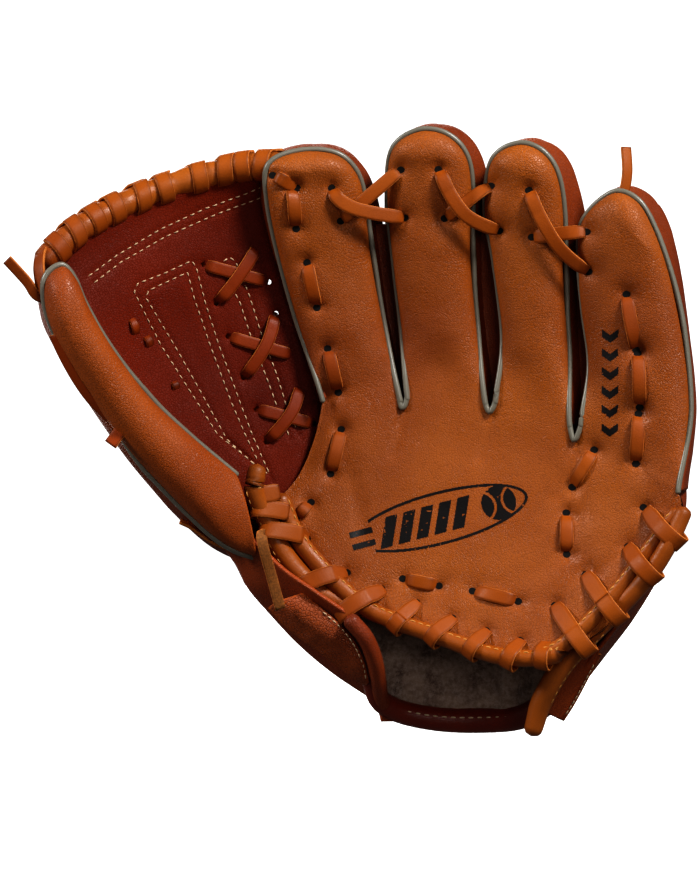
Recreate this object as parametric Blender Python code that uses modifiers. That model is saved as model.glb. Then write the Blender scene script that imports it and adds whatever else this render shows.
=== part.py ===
"""Baseball fielder's glove for the left hand, open, palm towards -Y and fingers up.

Every length below is in millimetres and becomes metres when a mesh is made. X runs from the thumb to the little
finger, Z up along the fingers, and +Y from the palm to the back of the hand. Three bodies are hinged to the palm:
the thumb with its web, the little finger's side, and the wrist strap.
"""

import math

import bmesh
import bpy
import numpy as np
from mathutils import Matrix

MM = 0.001

# ---------------------------------------------------------------- driving dimensions
LEATHER = 2.4  # palm and front panels
BACK_LEATHER = 2.0
LINING = 1.2
FELT = 5.0
CLEAR = 0.6  # gap left between layers
PIPING_R = 1.7
LACE_WIDTH = 7.0
LACE_THICK = 1.8
HEEL_ROLL_R = 4.5
WEB_ROLL_R = 6.0
SIDE_ROLL_R = 4.0
HAND_GAP = 37.0  # front of the palm to the knuckles
WRIST_BACK_Y = 50.0

# The pocket is a shallow bowl: y = POCKET_DEPTH at its centre, less towards every edge.
POCKET_X, POCKET_Z, POCKET_DEPTH = -15.0, 165.0, 26.0
BOWL_THUMB, BOWL_FINGERS, BOWL_UP, BOWL_DOWN = 0.011, 0.0016, 0.0012, 0.0016

# The origin is under the middle of the glove: this carries the outline's frame to it.
SHIFT = np.array([-2.691, -12.594, -2.31])

# Stall outlines as (x, z), up one side, round the tip and down the other.
INDEX = [(-14, 176), (-24, 210), (-33, 245), (-38.5, 275), (-37, 292), (-22, 300.5), (-6, 297),
         (3, 284), (7, 272), (11.5, 245), (18, 210), (25, 177)]
MIDDLE = [(29.5, 177), (25.5, 208), (21.5, 245), (17.5, 275), (20, 297), (33, 308.5), (48, 307),
          (57, 295), (60.5, 275), (62, 245), (65, 210), (69.5, 176)]
RING = [(74.5, 175), (77, 200), (71.5, 245), (67, 272), (70, 293), (82, 301.5), (92, 299),
        (101, 286), (104.5, 265), (107.5, 235), (110, 200), (111.5, 168)]
LITTLE = [(117.5, 165), (120, 190), (118, 220), (116, 245), (117, 266), (130, 277), (140, 272),
          (150, 252), (160, 218), (167, 178), (168, 150), (165, 133)]
THUMB = [(-54, 138), (-80, 157), (-101, 177), (-119, 201), (-131, 222), (-139, 238), (-147, 243.5),
         (-152.5, 234), (-149, 212), (-135, 187), (-112, 153), (-92, 128), (-72, 109), (-58, 103)]
# The edge of the heel from the thumb's seam to the little finger's, and the second edge beside it on each side.
HEEL = [(-49, 135), (-38, 116), (-22, 94), (3.7, 70), (27, 58), (52, 47.5), (76, 43), (98, 44.5),
        (114, 51), (131, 64), (148, 87), (160, 108), (171, 121)]
THUMB_EDGE = [(-54, 117, 14), (-45, 102, 13), (-30, 82, 13), (-8, 61, 14), (6, 46, 20), (10, 30, 28)]
FLAP_EDGE = [(178, 112, -36), (158, 78, -28), (143, 58, -20), (131, 42, -12), (117, 22, -4), (100, 5, 4)]

THUMB_FOLD = ((-41.0, 2.0, 300.0), (5.0, 2.0, 66.0))
LITTLE_FOLD = ((114.5, -32.0, 300.0), (114.5, -32.0, 40.0))
STRAP_HINGE = (31.5, 57.5, 40.0)

TAN = (0.42, 0.13, 0.022)
DARK_TAN = (0.20, 0.045, 0.012)
GREY = (0.30, 0.28, 0.25)
FLEECE = (0.16, 0.13, 0.11)
FELT_WHITE = (0.62, 0.58, 0.50)
BLACK = (0.02, 0.02, 0.02)


# ---------------------------------------------------------------- curves and the pocket's surface
def smooth_path(points, count):
    """count points evenly spaced along a Catmull-Rom curve through the given ones."""
    points = np.array(points, float)
    ends = np.vstack([2 * points[0] - points[1], points, 2 * points[-1] - points[-2]])
    dense = []
    for a, b, c, d in zip(ends, ends[1:], ends[2:], ends[3:]):
        for t in np.linspace(0, 1, 16, endpoint=False):
            dense.append(0.5 * (2 * b + (c - a) * t + (2 * a - 5 * b + 4 * c - d) * t**2
                                + (3 * b - a - 3 * c + d) * t**3))
    dense = np.vstack([dense, points[-1]])
    along = np.r_[0, np.cumsum(np.linalg.norm(np.diff(dense, axis=0), axis=1))]
    wanted = np.linspace(0, along[-1], count)
    return np.stack([np.interp(wanted, along, column) for column in dense.T], axis=1)


def pocket_y(x, z):
    across = np.where(x < POCKET_X, BOWL_THUMB, BOWL_FINGERS) * (x - POCKET_X) ** 2
    along = np.where(z > POCKET_Z, BOWL_UP, BOWL_DOWN) * (z - POCKET_Z) ** 2
    return POCKET_DEPTH - across - along


def thumb_y(x, z):
    """The thumb stall's front lies on a plane that comes forward towards its tip."""
    return 8 + 0.30 * (x + 50) - 0.07 * (z - 115)


def back_of(surface, x, z):
    """The unit normal of a front surface, pointing to the back of the hand."""
    step = 1.0
    slope_x = (surface(x + step, z) - surface(x - step, z)) / (2 * step)
    slope_z = (surface(x, z + step) - surface(x, z - step)) / (2 * step)
    normal = np.stack([-slope_x, np.ones_like(slope_x), -slope_z], axis=-1)
    return normal / np.linalg.norm(normal, axis=-1, keepdims=True)


def on_surface(surface, xz, depth=0.0):
    """Points of the surface over (x, z), carried depth towards the back."""
    x, z = np.array(xz, float)[..., 0], np.array(xz, float)[..., 1]
    return np.stack([x, surface(x, z), z], axis=-1) + np.array(depth)[..., None] * back_of(surface, x, z)


def hand_back_y(x, z):
    """The back of the hand, from the round of the wrist up to the knuckles."""
    up = np.clip((z - 10) / 160, 0, 1)
    wrist = WRIST_BACK_Y - 0.006 * (x - 52) ** 2
    knuckles = pocket_y(np.maximum(x, POCKET_X), 170) + HAND_GAP + 1
    return wrist * (1 - up) + knuckles * up


# ---------------------------------------------------------------- materials and objects
def material(name, colour, roughness, metallic=0.0):
    made = bpy.data.materials.new(name)
    made.use_nodes = True
    shader = made.node_tree.nodes["Principled BSDF"]
    shader.inputs["Base Color"].default_value = (*colour, 1)
    shader.inputs["Roughness"].default_value = roughness
    shader.inputs["Metallic"].default_value = metallic
    return made


def add_mesh(name, points, faces, finish):
    mesh = bpy.data.meshes.new(name)
    mesh.from_pydata(((np.array(points) + SHIFT) * MM).tolist(), [], faces)
    body = bmesh.new()
    body.from_mesh(mesh)
    bmesh.ops.remove_doubles(body, verts=body.verts, dist=0.02 * MM)
    bmesh.ops.recalc_face_normals(body, faces=body.faces)
    body.to_mesh(mesh)
    body.free()
    mesh.shade_smooth()
    mesh.set_sharp_from_angle(angle=math.radians(40))
    mesh.materials.append(finish)
    made = bpy.data.objects.new(name, mesh)
    GLOVE.objects.link(made)
    return made


def grid_faces(rows, columns, start=0):
    return [(start + r * columns + c, start + r * columns + c + 1,
             start + (r + 1) * columns + c + 1, start + (r + 1) * columns + c)
            for r in range(rows - 1) for c in range(columns - 1)]


def sheet(name, grids, thickness, finish):
    """One leather or lining: open grids that meet at shared edges, thickened evenly about their middle."""
    points, faces = [], []
    for grid in grids:
        rows, columns = grid.shape[:2]
        faces += grid_faces(rows, columns, len(points))
        points += grid.reshape(-1, 3).tolist()
    made = add_mesh(name, points, faces, finish)
    solid = made.modifiers.new("thickness", "SOLIDIFY")
    solid.thickness = thickness * MM
    solid.offset = 0
    solid.use_even_offset = True
    return made


def tube(name, path, radius, finish, detail=1):
    """A round roll or piping along a path, as a bevelled curve with filled caps."""
    curve = bpy.data.curves.new(name, "CURVE")
    curve.dimensions = "3D"
    curve.bevel_depth = radius * MM
    curve.bevel_resolution = detail
    curve.use_fill_caps = True
    spline = curve.splines.new("POLY")
    spline.points.add(len(path) - 1)
    for point, place in zip(spline.points, (np.array(path) + SHIFT) * MM):
        point.co = (*place, 1)
    curve.materials.append(finish)
    made = bpy.data.objects.new(name, curve)
    GLOVE.objects.link(made)
    return made


def strap(name, path, normals, width, thickness, finish):
    """A flat strap: one rectangular section at each point of the path, its broad side facing the normal."""
    path = np.array(path, float)
    along = np.gradient(path, axis=0)
    normals = np.array(normals, float) * np.ones_like(path)
    side = np.cross(along, normals)
    side /= np.linalg.norm(side, axis=1, keepdims=True)
    up = np.cross(side, along)
    up /= np.linalg.norm(up, axis=1, keepdims=True)
    side *= width / 2
    up *= thickness / 2
    ring = np.stack([path - side - up, path + side - up, path + side + up, path - side + up], axis=1)
    faces = [(4 * i + j, 4 * i + (j + 1) % 4, 4 * i + 4 + (j + 1) % 4, 4 * i + 4 + j)
             for i in range(len(path) - 1) for j in range(4)]
    last = 4 * (len(path) - 1)
    faces += [(0, 1, 2, 3), (last + 3, last + 2, last + 1, last)]
    return add_mesh(name, ring.reshape(-1, 3), faces, finish)


def wrapped_lace(name, path, across, half_width, half_depth, turns, finish):
    """A lace wound round a roll. across points over the leather, and the loops are ellipses about the path."""
    steps = 8 * turns + 1
    centre = smooth_path(path, steps)
    along = np.gradient(centre, axis=0)
    along /= np.linalg.norm(along, axis=1, keepdims=True)
    across = np.array(across, float)
    across = across - (along * across).sum(1, keepdims=True) * along
    across /= np.linalg.norm(across, axis=1, keepdims=True)
    deep = np.cross(along, across)
    angle = np.linspace(0, 2 * math.pi * turns, steps)[:, None]
    out = half_width * np.cos(angle) * across + half_depth * np.sin(angle) * deep
    normal = np.cos(angle) / half_width * across + np.sin(angle) / half_depth * deep
    return strap(name, centre + out, normal, LACE_WIDTH * 0.8, LACE_THICK, finish)


def joined(name, pieces):
    """A Boolean union of overlapping pieces into one body."""
    first = pieces[0]
    for other in pieces[1:]:
        union = first.modifiers.new("join", "BOOLEAN")
        union.operation = "UNION"
        union.object = other
        union.solver = "EXACT"
        GLOVE.objects.unlink(other)
        HELPERS.objects.link(other)
        other.hide_render = True
        other.display_type = "WIRE"
    first.name = name
    return first


# ---------------------------------------------------------------- stalls
def stall_side(outline, surface, edge, crown, count=16, rings=4, power=2.0, inset=0.0, bulge=0.0):
    """One side of a stall as a grid: rows run round the outline, columns from its edge in to the middle line.

    edge and crown are depths towards the back, as functions of the way t up the stall.
    """
    line = smooth_path(outline, count + 1)
    turn = 0.84  # share of each side after which the tip is round
    way = 1 - np.abs(np.linspace(-1, 1, count + 1))
    u = np.minimum(way, turn) / 2
    at = np.linspace(0, 1, count + 1)
    left = np.stack([np.interp(u, at, line[:, k]) for k in (0, 1)], axis=1)
    right = np.stack([np.interp(1 - u, at, line[:, k]) for k in (0, 1)], axis=1)
    middle = (left + right) / 2
    inward = middle - line
    reach = np.linalg.norm(inward, axis=1, keepdims=True)
    line = line + inward / reach * inset
    rim = on_surface(surface, line, edge(way))
    top = on_surface(surface, middle, edge(way))
    normal = back_of(surface, middle[:, 0], middle[:, 1])
    rise = (crown(np.minimum(way, turn)) - edge(np.minimum(way, turn)))[:, None]
    rows = []
    for j in range(rings + 1):
        angle = j / rings * math.pi / 2
        inner = 1 - math.cos(angle) ** (2 / power)
        outer = math.sin(angle) ** (2 / power)
        swell = -(top - rim) / np.linalg.norm(top - rim, axis=1, keepdims=True) * bulge * math.sin(2 * angle)
        rows.append(rim + (top - rim) * inner + normal * rise * outer + swell)
    return np.stack(rows, axis=1)


def ramp(t, low, high, over=0.25):
    s = np.clip(t / over, 0, 1)
    return low + (high - low) * s * s * (3 - 2 * s)


def edge_front(t):
    return ramp(t, LEATHER / 2, LEATHER / 2 + 3)


def crown_front(t):
    return ramp(t, LEATHER / 2, LEATHER / 2 - 1.5)


def edge_back(t):
    return edge_front(t) + LEATHER / 2 + 2 * PIPING_R + 2 * CLEAR + 1


def finger_back(name, outline):
    grid = stall_side(outline, pocket_y, edge_back, lambda t: HAND_GAP - 12 * t, 18, 4, 2.7, bulge=0.8)
    return sheet(name, [grid], BACK_LEATHER, FINISH["back_leather"])


def stall_lining(name, outline, surface, depth):
    """The soft glove finger inside a stall: front and back joined round the outline and open at the hand."""
    front = stall_side(outline, surface, lambda t: 14 + 0 * t, lambda t: 9.5 + 0 * t, 12, 2, inset=7)
    back = stall_side(outline, surface, lambda t: 14 + 0 * t, lambda t: depth - 12 * t, 12, 2, inset=7)
    return sheet(name, [front, back], LINING, FINISH["lining"])


def piping(name, outline, surface, edge):
    """The grey piping sewn between a stall's front and back leathers."""
    line = smooth_path(outline, 25)
    way = 1 - np.abs(np.linspace(-1, 1, 25))
    return tube(name, on_surface(surface, line, edge(way) + LEATHER / 2 + CLEAR + PIPING_R), PIPING_R,
                FINISH["piping"])


def thumb_fold_x(z):
    (x0, _, z0), (x1, _, z1) = THUMB_FOLD
    return x0 + (x1 - x0) * (z - z0) / (z1 - z0)


def patch(left, right, columns, rows, surface, depth):
    """A grid between two (x, z) edges that run the same way."""
    a, b = smooth_path(left, rows), smooth_path(right, rows)
    s = np.linspace(0, 1, columns)[None, :, None]
    return on_surface(surface, a[:, None] * (1 - s) + b[:, None] * s, depth)


# ---------------------------------------------------------------- the palm body
def make_palm():
    """Palm leather with the fronts of three fingers in one piece, then felt, lining and back."""
    middle = LEATHER / 2
    stalls = [stall_side(o, pocket_y, edge_front, crown_front, 16, 3) for o in (INDEX, MIDDLE, RING)]
    base = np.concatenate([np.vstack([g[0], g[-1][-2::-1]]) for g in stalls])
    count = len(base)
    heel = [(12, 74), (30, 66), (53, 56.5), (76, 52.5), (96, 54), (111, 60)]
    foot = smooth_path(heel, count)
    top = base[:, [0, 2]]
    top[0] = (max(top[0][0], thumb_fold_x(top[0][1]) + 1.0), top[0][1])
    rows = np.linspace(0, 1, 7)[:, None, None]
    body = on_surface(pocket_y, top[None] * (1 - rows) + foot[None] * rows, middle)
    body[0] = base
    sheet("palm_leather", stalls + [body], LEATHER, FINISH["palm_leather"])

    pad = patch([(12, 160), (16, 90)], [(100, 155), (98, 72)], 6, 6, pocket_y, LEATHER + CLEAR + FELT / 2)
    sheet("palm_felt_pad", [pad], FELT, FINISH["felt"])
    inner = patch([(6, 164), (14, 86)], [(104, 158), (100, 70)], 6, 6, pocket_y,
                  LEATHER + 2 * CLEAR + FELT + LINING / 2)
    sheet("palm_lining", [inner], LINING, FINISH["lining"])

    back = patch([(-10, 172), (-4, 100), (14, 12)], [(118, 166), (116, 90), (94, 12)], 9, 9, hand_back_y, 0)
    sheet("back_leather", [back], BACK_LEATHER, FINISH["back_leather"])
    fleece = patch([(8, 150), (2, 100), (18, 16)], [(112, 150), (110, 90), (90, 16)], 9, 9, hand_back_y,
                   -(BACK_LEATHER / 2 + CLEAR + 1.5))
    sheet("wrist_fleece_lining", [fleece], 3.0, FINISH["fleece"])
    edge = on_surface(hand_back_y, smooth_path([(13, 8.5), (54, 7), (95, 8.5)], 14), -1.0)
    tube("wrist_edge_binding", edge, 2.2, FINISH["binding"])


def make_fingers():
    for name, outline in (("index", INDEX), ("middle", MIDDLE), ("ring", RING)):
        finger_back(name + "_finger_back", outline)
        piping(name + "_finger_piping", outline, pocket_y, edge_front)
        stall_lining(name + "_finger_lining", outline, pocket_y, HAND_GAP - 6)


def heel_part(first, last, count):
    """Part of the heel's edge by share of its length, as points on the pocket's surface."""
    whole = on_surface(pocket_y, smooth_path(HEEL, 121), 3.0)
    return smooth_path(whole[round(first * 120):round(last * 120) + 1:4], count)


def heel_lace(name, centre, turns):
    across = np.array([0.15, 0, 1.0])
    around = HEEL_ROLL_R + LACE_THICK / 2 + 2 * CLEAR
    wrapped_lace(name, centre, across, around, around, turns, FINISH["lace"])


def make_centre_heel():
    """The heel's rolled edge below the palm and the lace wound round it."""
    centre = heel_part(0.30, 0.73, 14)
    tube("heel_roll_centre", centre, HEEL_ROLL_R, FINISH["binding"])
    heel_lace("heel_lace_centre", heel_part(0.30, 0.70, 14), 8)


def make_thumb_heel():
    """The roll up to the thumb, the second roll beside it, and the wall of the wrist opening."""
    tube("heel_roll_thumb", heel_part(0.02, 0.275, 12), HEEL_ROLL_R, FINISH["binding"])
    edge = smooth_path([(x, y, z) for x, z, y in THUMB_EDGE], 12)
    tube("thumb_edge_roll", edge, SIDE_ROLL_R, FINISH["binding"])
    make_thumb_wall()


def make_little_heel():
    """The roll up to the little finger with its lace, the wrist flap's edge roll, and that side's wall."""
    centre = heel_part(0.75, 0.98, 12)
    tube("heel_roll_little", centre, HEEL_ROLL_R, FINISH["binding"])
    heel_lace("heel_lace_little", centre, 5)
    edge = smooth_path([(x, y, z) for x, z, y in FLAP_EDGE], 12)
    tube("little_edge_roll", edge, SIDE_ROLL_R, FINISH["binding"])
    make_little_wall()


# ---------------------------------------------------------------- laces that lie on the leather
def cross_lace(name, corners, surface, depth):
    """Two straps crossing between four holes given as (x, z): upper left, lower right, lower left, upper right."""
    pieces = []
    for a, b in (corners[:2], corners[2:]):
        line = np.linspace(a, b, 7)
        lift = depth - 2.0 * np.sin(np.linspace(0, math.pi, 7))
        ends = on_surface(surface, np.array([a, b]), depth)
        path = ends[0] + (ends[1] - ends[0]) * np.linspace(0, 1, 7)[:, None]
        facing = back_of(surface, line[:, 0], line[:, 1])
        path -= facing * (depth - lift)[:, None]
        pieces.append(strap(name, path, facing, LACE_WIDTH, LACE_THICK, FINISH["lace"]))
    joined(name, pieces)


def surface_lace(name, points, surface, depth, count=10):
    """A lace lying along the leather."""
    line = smooth_path(points, count)
    strap(name, on_surface(surface, line, depth), back_of(surface, line[:, 0], line[:, 1]), LACE_WIDTH,
          LACE_THICK, FINISH["lace"])


def free_lace(name, path, facing):
    strap(name, smooth_path(path, 6), facing, LACE_WIDTH * 0.8, LACE_THICK, FINISH["lace"])


FRONT_LACE = -(CLEAR + LACE_THICK / 2 + 1.6)


def make_front_laces():
    cross_lace("index_middle_lace", [(-8, 285), (30, 264), (-2, 263), (30, 281)], pocket_y, FRONT_LACE - 3)
    cross_lace("middle_ring_lace", [(45, 281), (75, 262), (50, 263), (75, 277)], pocket_y, FRONT_LACE - 3)
    cross_lace("ring_little_lace", [(92, 273), (118, 250), (94, 257), (118, 262)], pocket_y, FRONT_LACE - 3.5)
    surface_lace("index_side_lace", [(-25, 276), (-19, 240), (-11, 205), (-3, 180)], pocket_y, FRONT_LACE - 2)
    surface_lace("palm_lace", [(106, 142), (109, 118), (95, 92), (72, 76), (45, 80)], pocket_y, FRONT_LACE)


# ---------------------------------------------------------------- the thumb body: thumb stall, web and thumb heel
WEB_RIGHT = [(-34, 33, 132), (-23, 36, 146), (-17, 38, 165), (-21, 38, 190), (-29, 36, 215), (-39, 31, 250),
             (-45, 24, 280), (-46, 19, 291)]
WEB_LEFT = [(-47, 32, 130), (-74, 28, 151), (-98, 23, 174), (-117, 17, 198), (-130, 11, 220), (-140, 5, 238),
            (-146, 0, 248)]
WEB_TOP = [(-149, -8, 256), (-125, 10, 275), (-100, 19, 287), (-72, 22, 297), (-48, 18, 301)]


def web_grid(depth, trim, rows=9, columns=9):
    """The web between its two laced edges, sagging away from the palm, depth behind its front."""
    left, right = smooth_path(WEB_LEFT, rows), smooth_path(WEB_RIGHT, rows)
    t = np.linspace(0, 1, rows)[:, None, None]
    s = np.linspace(trim, 1 - trim, columns)[None, :, None]
    grid = left[:, None] * (1 - s) + right[:, None] * s
    sag = 4 * s * (1 - s) * (0.25 + 0.75 * t)
    grid[..., 1] += (8 * sag)[..., 0] + depth
    grid[..., 2] += (5 * sag * t)[..., 0]
    return grid


def web_place(s, t, front):
    """A point of the web at shares s across and t up, front millimetres before its middle."""
    grid = web_grid(-front, 0.0, 41, 41)
    return grid[round(t * 40), round(s * 40)]


def make_web():
    sheet("web_front_leather", [web_grid(0, 0.015)], BACK_LEATHER, FINISH["web_leather"])
    sheet("web_back_leather", [web_grid(BACK_LEATHER + CLEAR, 0.03)], BACK_LEATHER, FINISH["web_leather"])
    path = [web_place(s, t, -(2 * BACK_LEATHER + 2.6)) for s, t in ((0.45, 0.25), (0.5, 0.5), (0.55, 0.84))]
    strap("web_centre_strip", smooth_path(path, 9), (0, 1, 0), 16, BACK_LEATHER, FINISH["web_leather"])
    top = smooth_path(WEB_TOP, 18)
    tube("web_top_roll", top, WEB_ROLL_R, FINISH["binding"], 2)
    wrapped_lace("web_top_lace", top[1:-1], (0, 0, 1), WEB_ROLL_R + 1.7, WEB_ROLL_R + 1.7, 12, FINISH["lace"])
    for number, t in enumerate((0.44, 0.64, 0.84), 1):
        corners = [web_place(s, t + rise, 3.6) for s, rise in
                   ((0.55, 0.035), (0.86, -0.045), (0.63, -0.065), (0.80, 0.07))]
        pieces = [strap(f"web_cross_lace_{number}", np.linspace(a, b, 5), (0, 1, 0), LACE_WIDTH, LACE_THICK,
                        FINISH["lace"]) for a, b in (corners[:2], corners[2:])]
        joined(f"web_cross_lace_{number}", pieces)


def make_thumb():
    front = stall_side(THUMB, thumb_y, lambda t: LEATHER / 2 + 3 + 0 * t, lambda t: -7 + 0 * t, 18, 3)
    sheet("thumb_front_leather", [front], LEATHER, FINISH["palm_leather"])
    edge = LEATHER / 2 + 3
    rim = edge + LEATHER / 2 + 2 * PIPING_R + 2 * CLEAR + 1
    back = stall_side(THUMB, thumb_y, lambda t: rim + 0 * t, lambda t: 36 - 10 * t, 20, 4, 2.6, bulge=1.5)
    sheet("thumb_back_leather", [back], BACK_LEATHER, FINISH["back_leather"])
    piping("thumb_piping", THUMB, thumb_y, lambda t: edge + 0 * t)
    stall_lining("thumb_lining", THUMB, thumb_y, 28)
    spine = smooth_path([(-72, 130), (-100, 160), (-124, 190)], 8)
    strap("thumb_stiffener", on_surface(thumb_y, spine, 5.5), back_of(thumb_y, spine[:, 0], spine[:, 1]), 15,
          2.5, FINISH["felt"])
    lip = patch([(-15, 168), (-24, 145), (-36, 132), (-26, 110), (-9, 90), (-3, 84)],
                [(thumb_fold_x(z) - 1.2, z) for z in (170, 150, 130, 110, 95, 84)], 4, 9, pocket_y,
                LEATHER / 2)
    sheet("palm_leather_thumb_side", [lip], LEATHER, FINISH["palm_leather"])
    free_lace("heel_lace_end", [(-45, 6, 106), (-40, 2, 92), (-35, 4, 70)], (0, 1, 0))
    free_lace("web_lace_end", [(-163, -8, 238), (-168, -7, 242), (-174, -8, 248)], (0, 1, 0))
    outside = smooth_path([(-100, 132), (-122, 160), (-139, 190)], 8)
    free = on_surface(thumb_y, outside, 20.0) + np.array([-1.0, 0, -0.6])
    strap("thumb_side_lace", free, (0.8, 0.2, -0.6), LACE_WIDTH, LACE_THICK, FINISH["lace"])
    pad = patch([(-24, 138), (-18, 112), (-7, 94)], [(-12, 138), (-8, 112), (-3, 94)], 3, 5, pocket_y,
                LEATHER + CLEAR + FELT / 2)
    sheet("thumb_heel_pad", [pad], FELT, FINISH["felt"])


def make_thumb_wall():
    """The wall of the wrist opening on the thumb's side, from the heel's seam round to the back leather."""
    front = smooth_path([(-53, 24, 104), (-38, 22, 86), (-16, 24, 64), (2, 32, 40), (8, 38, 24)], 10)
    back = smooth_path([(-19, 60, 150), (-12, 59, 108), (-7, 57, 70), (2, 53, 34), (8, 49, 14)], 10)
    s = np.linspace(0, 1, 7)[None, :, None]
    wall = front[:, None] * (1 - s) + back[:, None] * s
    wall[..., 0] -= (12 * 4 * s * (1 - s))[..., 0]
    wall[..., 1] += (6 * 4 * s * (1 - s))[..., 0]
    sheet("thumb_wrist_wall", [wall], BACK_LEATHER, FINISH["back_leather"])


def make_little_wall():
    """The same wall on the little finger's side."""
    s = np.linspace(0, 1, 7)[None, :, None]
    front = smooth_path([(169, -17, 108), (158, -9, 84), (143, -3, 58), (128, 9, 34), (116, 17, 18)], 10)
    back = smooth_path([(124, 46, 148), (122, 49, 108), (118, 49, 70), (110, 46, 38), (100, 43, 14)], 10)
    wall = front[:, None] * (1 - s) + back[:, None] * s
    wall[..., 0] += (9 * 4 * s * (1 - s))[..., 0]
    wall[..., 1] += (5 * 4 * s * (1 - s))[..., 0]
    sheet("little_wrist_wall", [wall], BACK_LEATHER, FINISH["back_leather"])


# ---------------------------------------------------------------- the little finger's side
def make_little_side():
    stall = stall_side(LITTLE, pocket_y, edge_front, crown_front, 16, 3)
    base = np.vstack([stall[0], stall[-1][-2::-1]])
    foot = smooth_path([(117, 64), (127, 72), (138, 86), (147, 101), (154, 116)], len(base))
    rows = np.linspace(0, 1, 6)[:, None, None]
    body = on_surface(pocket_y, base[None][..., [0, 2]] * (1 - rows) + foot[None] * rows, LEATHER / 2)
    body[0] = base
    sheet("palm_leather_little_side", [stall, body], LEATHER, FINISH["palm_leather"])
    finger_back("little_finger_back", LITTLE)
    piping("little_finger_piping", LITTLE, pocket_y, edge_front)
    stall_lining("little_finger_lining", LITTLE, pocket_y, HAND_GAP - 6)
    pad = patch([(121, 140), (121, 84)], [(150, 140), (141, 100)], 4, 5, pocket_y, LEATHER + CLEAR + FELT / 2)
    sheet("little_heel_pad", [pad], FELT, FINISH["felt"])
    spine = smooth_path([(158, 150), (158, 185), (150, 222)], 8)
    strap("little_finger_stiffener", on_surface(pocket_y, spine, 6.6),
          back_of(pocket_y, spine[:, 0], spine[:, 1]), 10, 2.2, FINISH["felt"])
    surface_lace("little_side_lace", [(139, 232), (143, 200), (145, 172)], pocket_y, FRONT_LACE)
    free_lace("little_lace_end", [(135, -13, 284), (138, -13, 294), (139.5, -11, 303)], (0, 1, 0))


# ---------------------------------------------------------------- wrist strap
def strap_part(name, first, last, depth, width, thickness, finish):
    """A piece of the strap's stack, from x first to x last, depth outside the back leather."""
    line = smooth_path([(first, 40), (last, 40)], 9)
    strap(name, on_surface(hand_back_y, line, BACK_LEATHER / 2 + CLEAR + depth),
          back_of(hand_back_y, line[:, 0], line[:, 1]), width, thickness, finish)


def make_strap_fixings():
    """What the strap holds to: its sewn end and the loop patch, both on the back leather."""
    strap_part("strap_anchor", 16, 30, 1.2, 26, 2.4, FINISH["binding"])
    strap_part("strap_loop_patch", 62, 98, 0.8, 22, 1.6, FINISH["patch"])


def make_strap():
    """A hook-and-loop strap over the back of the wrist, which swings open about its thumb end."""
    strap_part("strap_hook_patch", 62, 98, 3.0, 22, 1.6, FINISH["patch"])
    strap_part("wrist_strap", 34, 98, 5.6, 28, 2.4, FINISH["binding"])
    centre = on_surface(hand_back_y, np.array([(60, 40)]), BACK_LEATHER / 2 + CLEAR + 9.6)[0]
    bpy.ops.mesh.primitive_cube_add(size=1, location=((centre + SHIFT) * MM).tolist())
    label = bpy.context.object
    label.name = label.data.name = "strap_label"
    label.dimensions = (24 * MM, 2.0 * MM, 18 * MM)
    bpy.ops.object.transform_apply(location=False, rotation=False, scale=True)
    label.data.materials.append(FINISH["label"])
    for collection in list(label.users_collection):
        collection.objects.unlink(label)
    GLOVE.objects.link(label)


def new_collection(name):
    made = bpy.data.collections.new(name)
    bpy.context.scene.collection.children.link(made)
    return made


def hinged(name, place, makers):
    """Makes a body and hangs its pieces from an empty on its hinge's axis."""
    before = set(GLOVE.objects)
    for maker in makers:
        maker()
    pivot = bpy.data.objects.new(name, None)
    pivot.location = ((np.array(place) + SHIFT) * MM).tolist()
    pivot.empty_display_size = 0.02
    for piece in set(GLOVE.objects) - before:
        piece.parent = pivot
        piece.matrix_parent_inverse = Matrix.Translation(-pivot.location)
    GLOVE.objects.link(pivot)


for leftover in list(bpy.data.objects):
    bpy.data.objects.remove(leftover)
GLOVE = new_collection("baseball_glove")
HELPERS = new_collection("helpers")
FINISH = {
    "palm_leather": material("palm_leather", TAN, 0.45),
    "back_leather": material("back_leather", TAN, 0.5),
    "web_leather": material("web_leather", DARK_TAN, 0.5),
    "binding": material("binding", TAN, 0.4),
    "lace": material("lace", TAN, 0.5),
    "piping": material("piping", GREY, 0.35),
    "lining": material("lining", TAN, 0.8),
    "fleece": material("fleece", FLEECE, 0.95),
    "felt": material("felt", FELT_WHITE, 0.95),
    "patch": material("patch", BLACK, 0.8),
    "label": material("label", DARK_TAN, 0.5),
}

make_palm()
make_fingers()
make_centre_heel()
make_front_laces()
make_strap_fixings()
hinged("thumb_hinge", THUMB_FOLD[1], [make_thumb, make_web, make_thumb_heel])
hinged("little_finger_hinge", LITTLE_FOLD[1], [make_little_side, make_little_heel])
hinged("strap_hinge", STRAP_HINGE, [make_strap])
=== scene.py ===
"""The look of the fielder's glove: grained leather, laces, piping, stitching and fleece over its CAD bodies.

Lengths are in millimetres in the outline's frame, which SHIFT carries to the CAD's: X from the thumb to the
little finger, Z up along the fingers, +Y from the palm to the back of the hand.
"""

import math

import bpy
import numpy as np
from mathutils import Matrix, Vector
from mathutils.bvhtree import BVHTree


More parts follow.
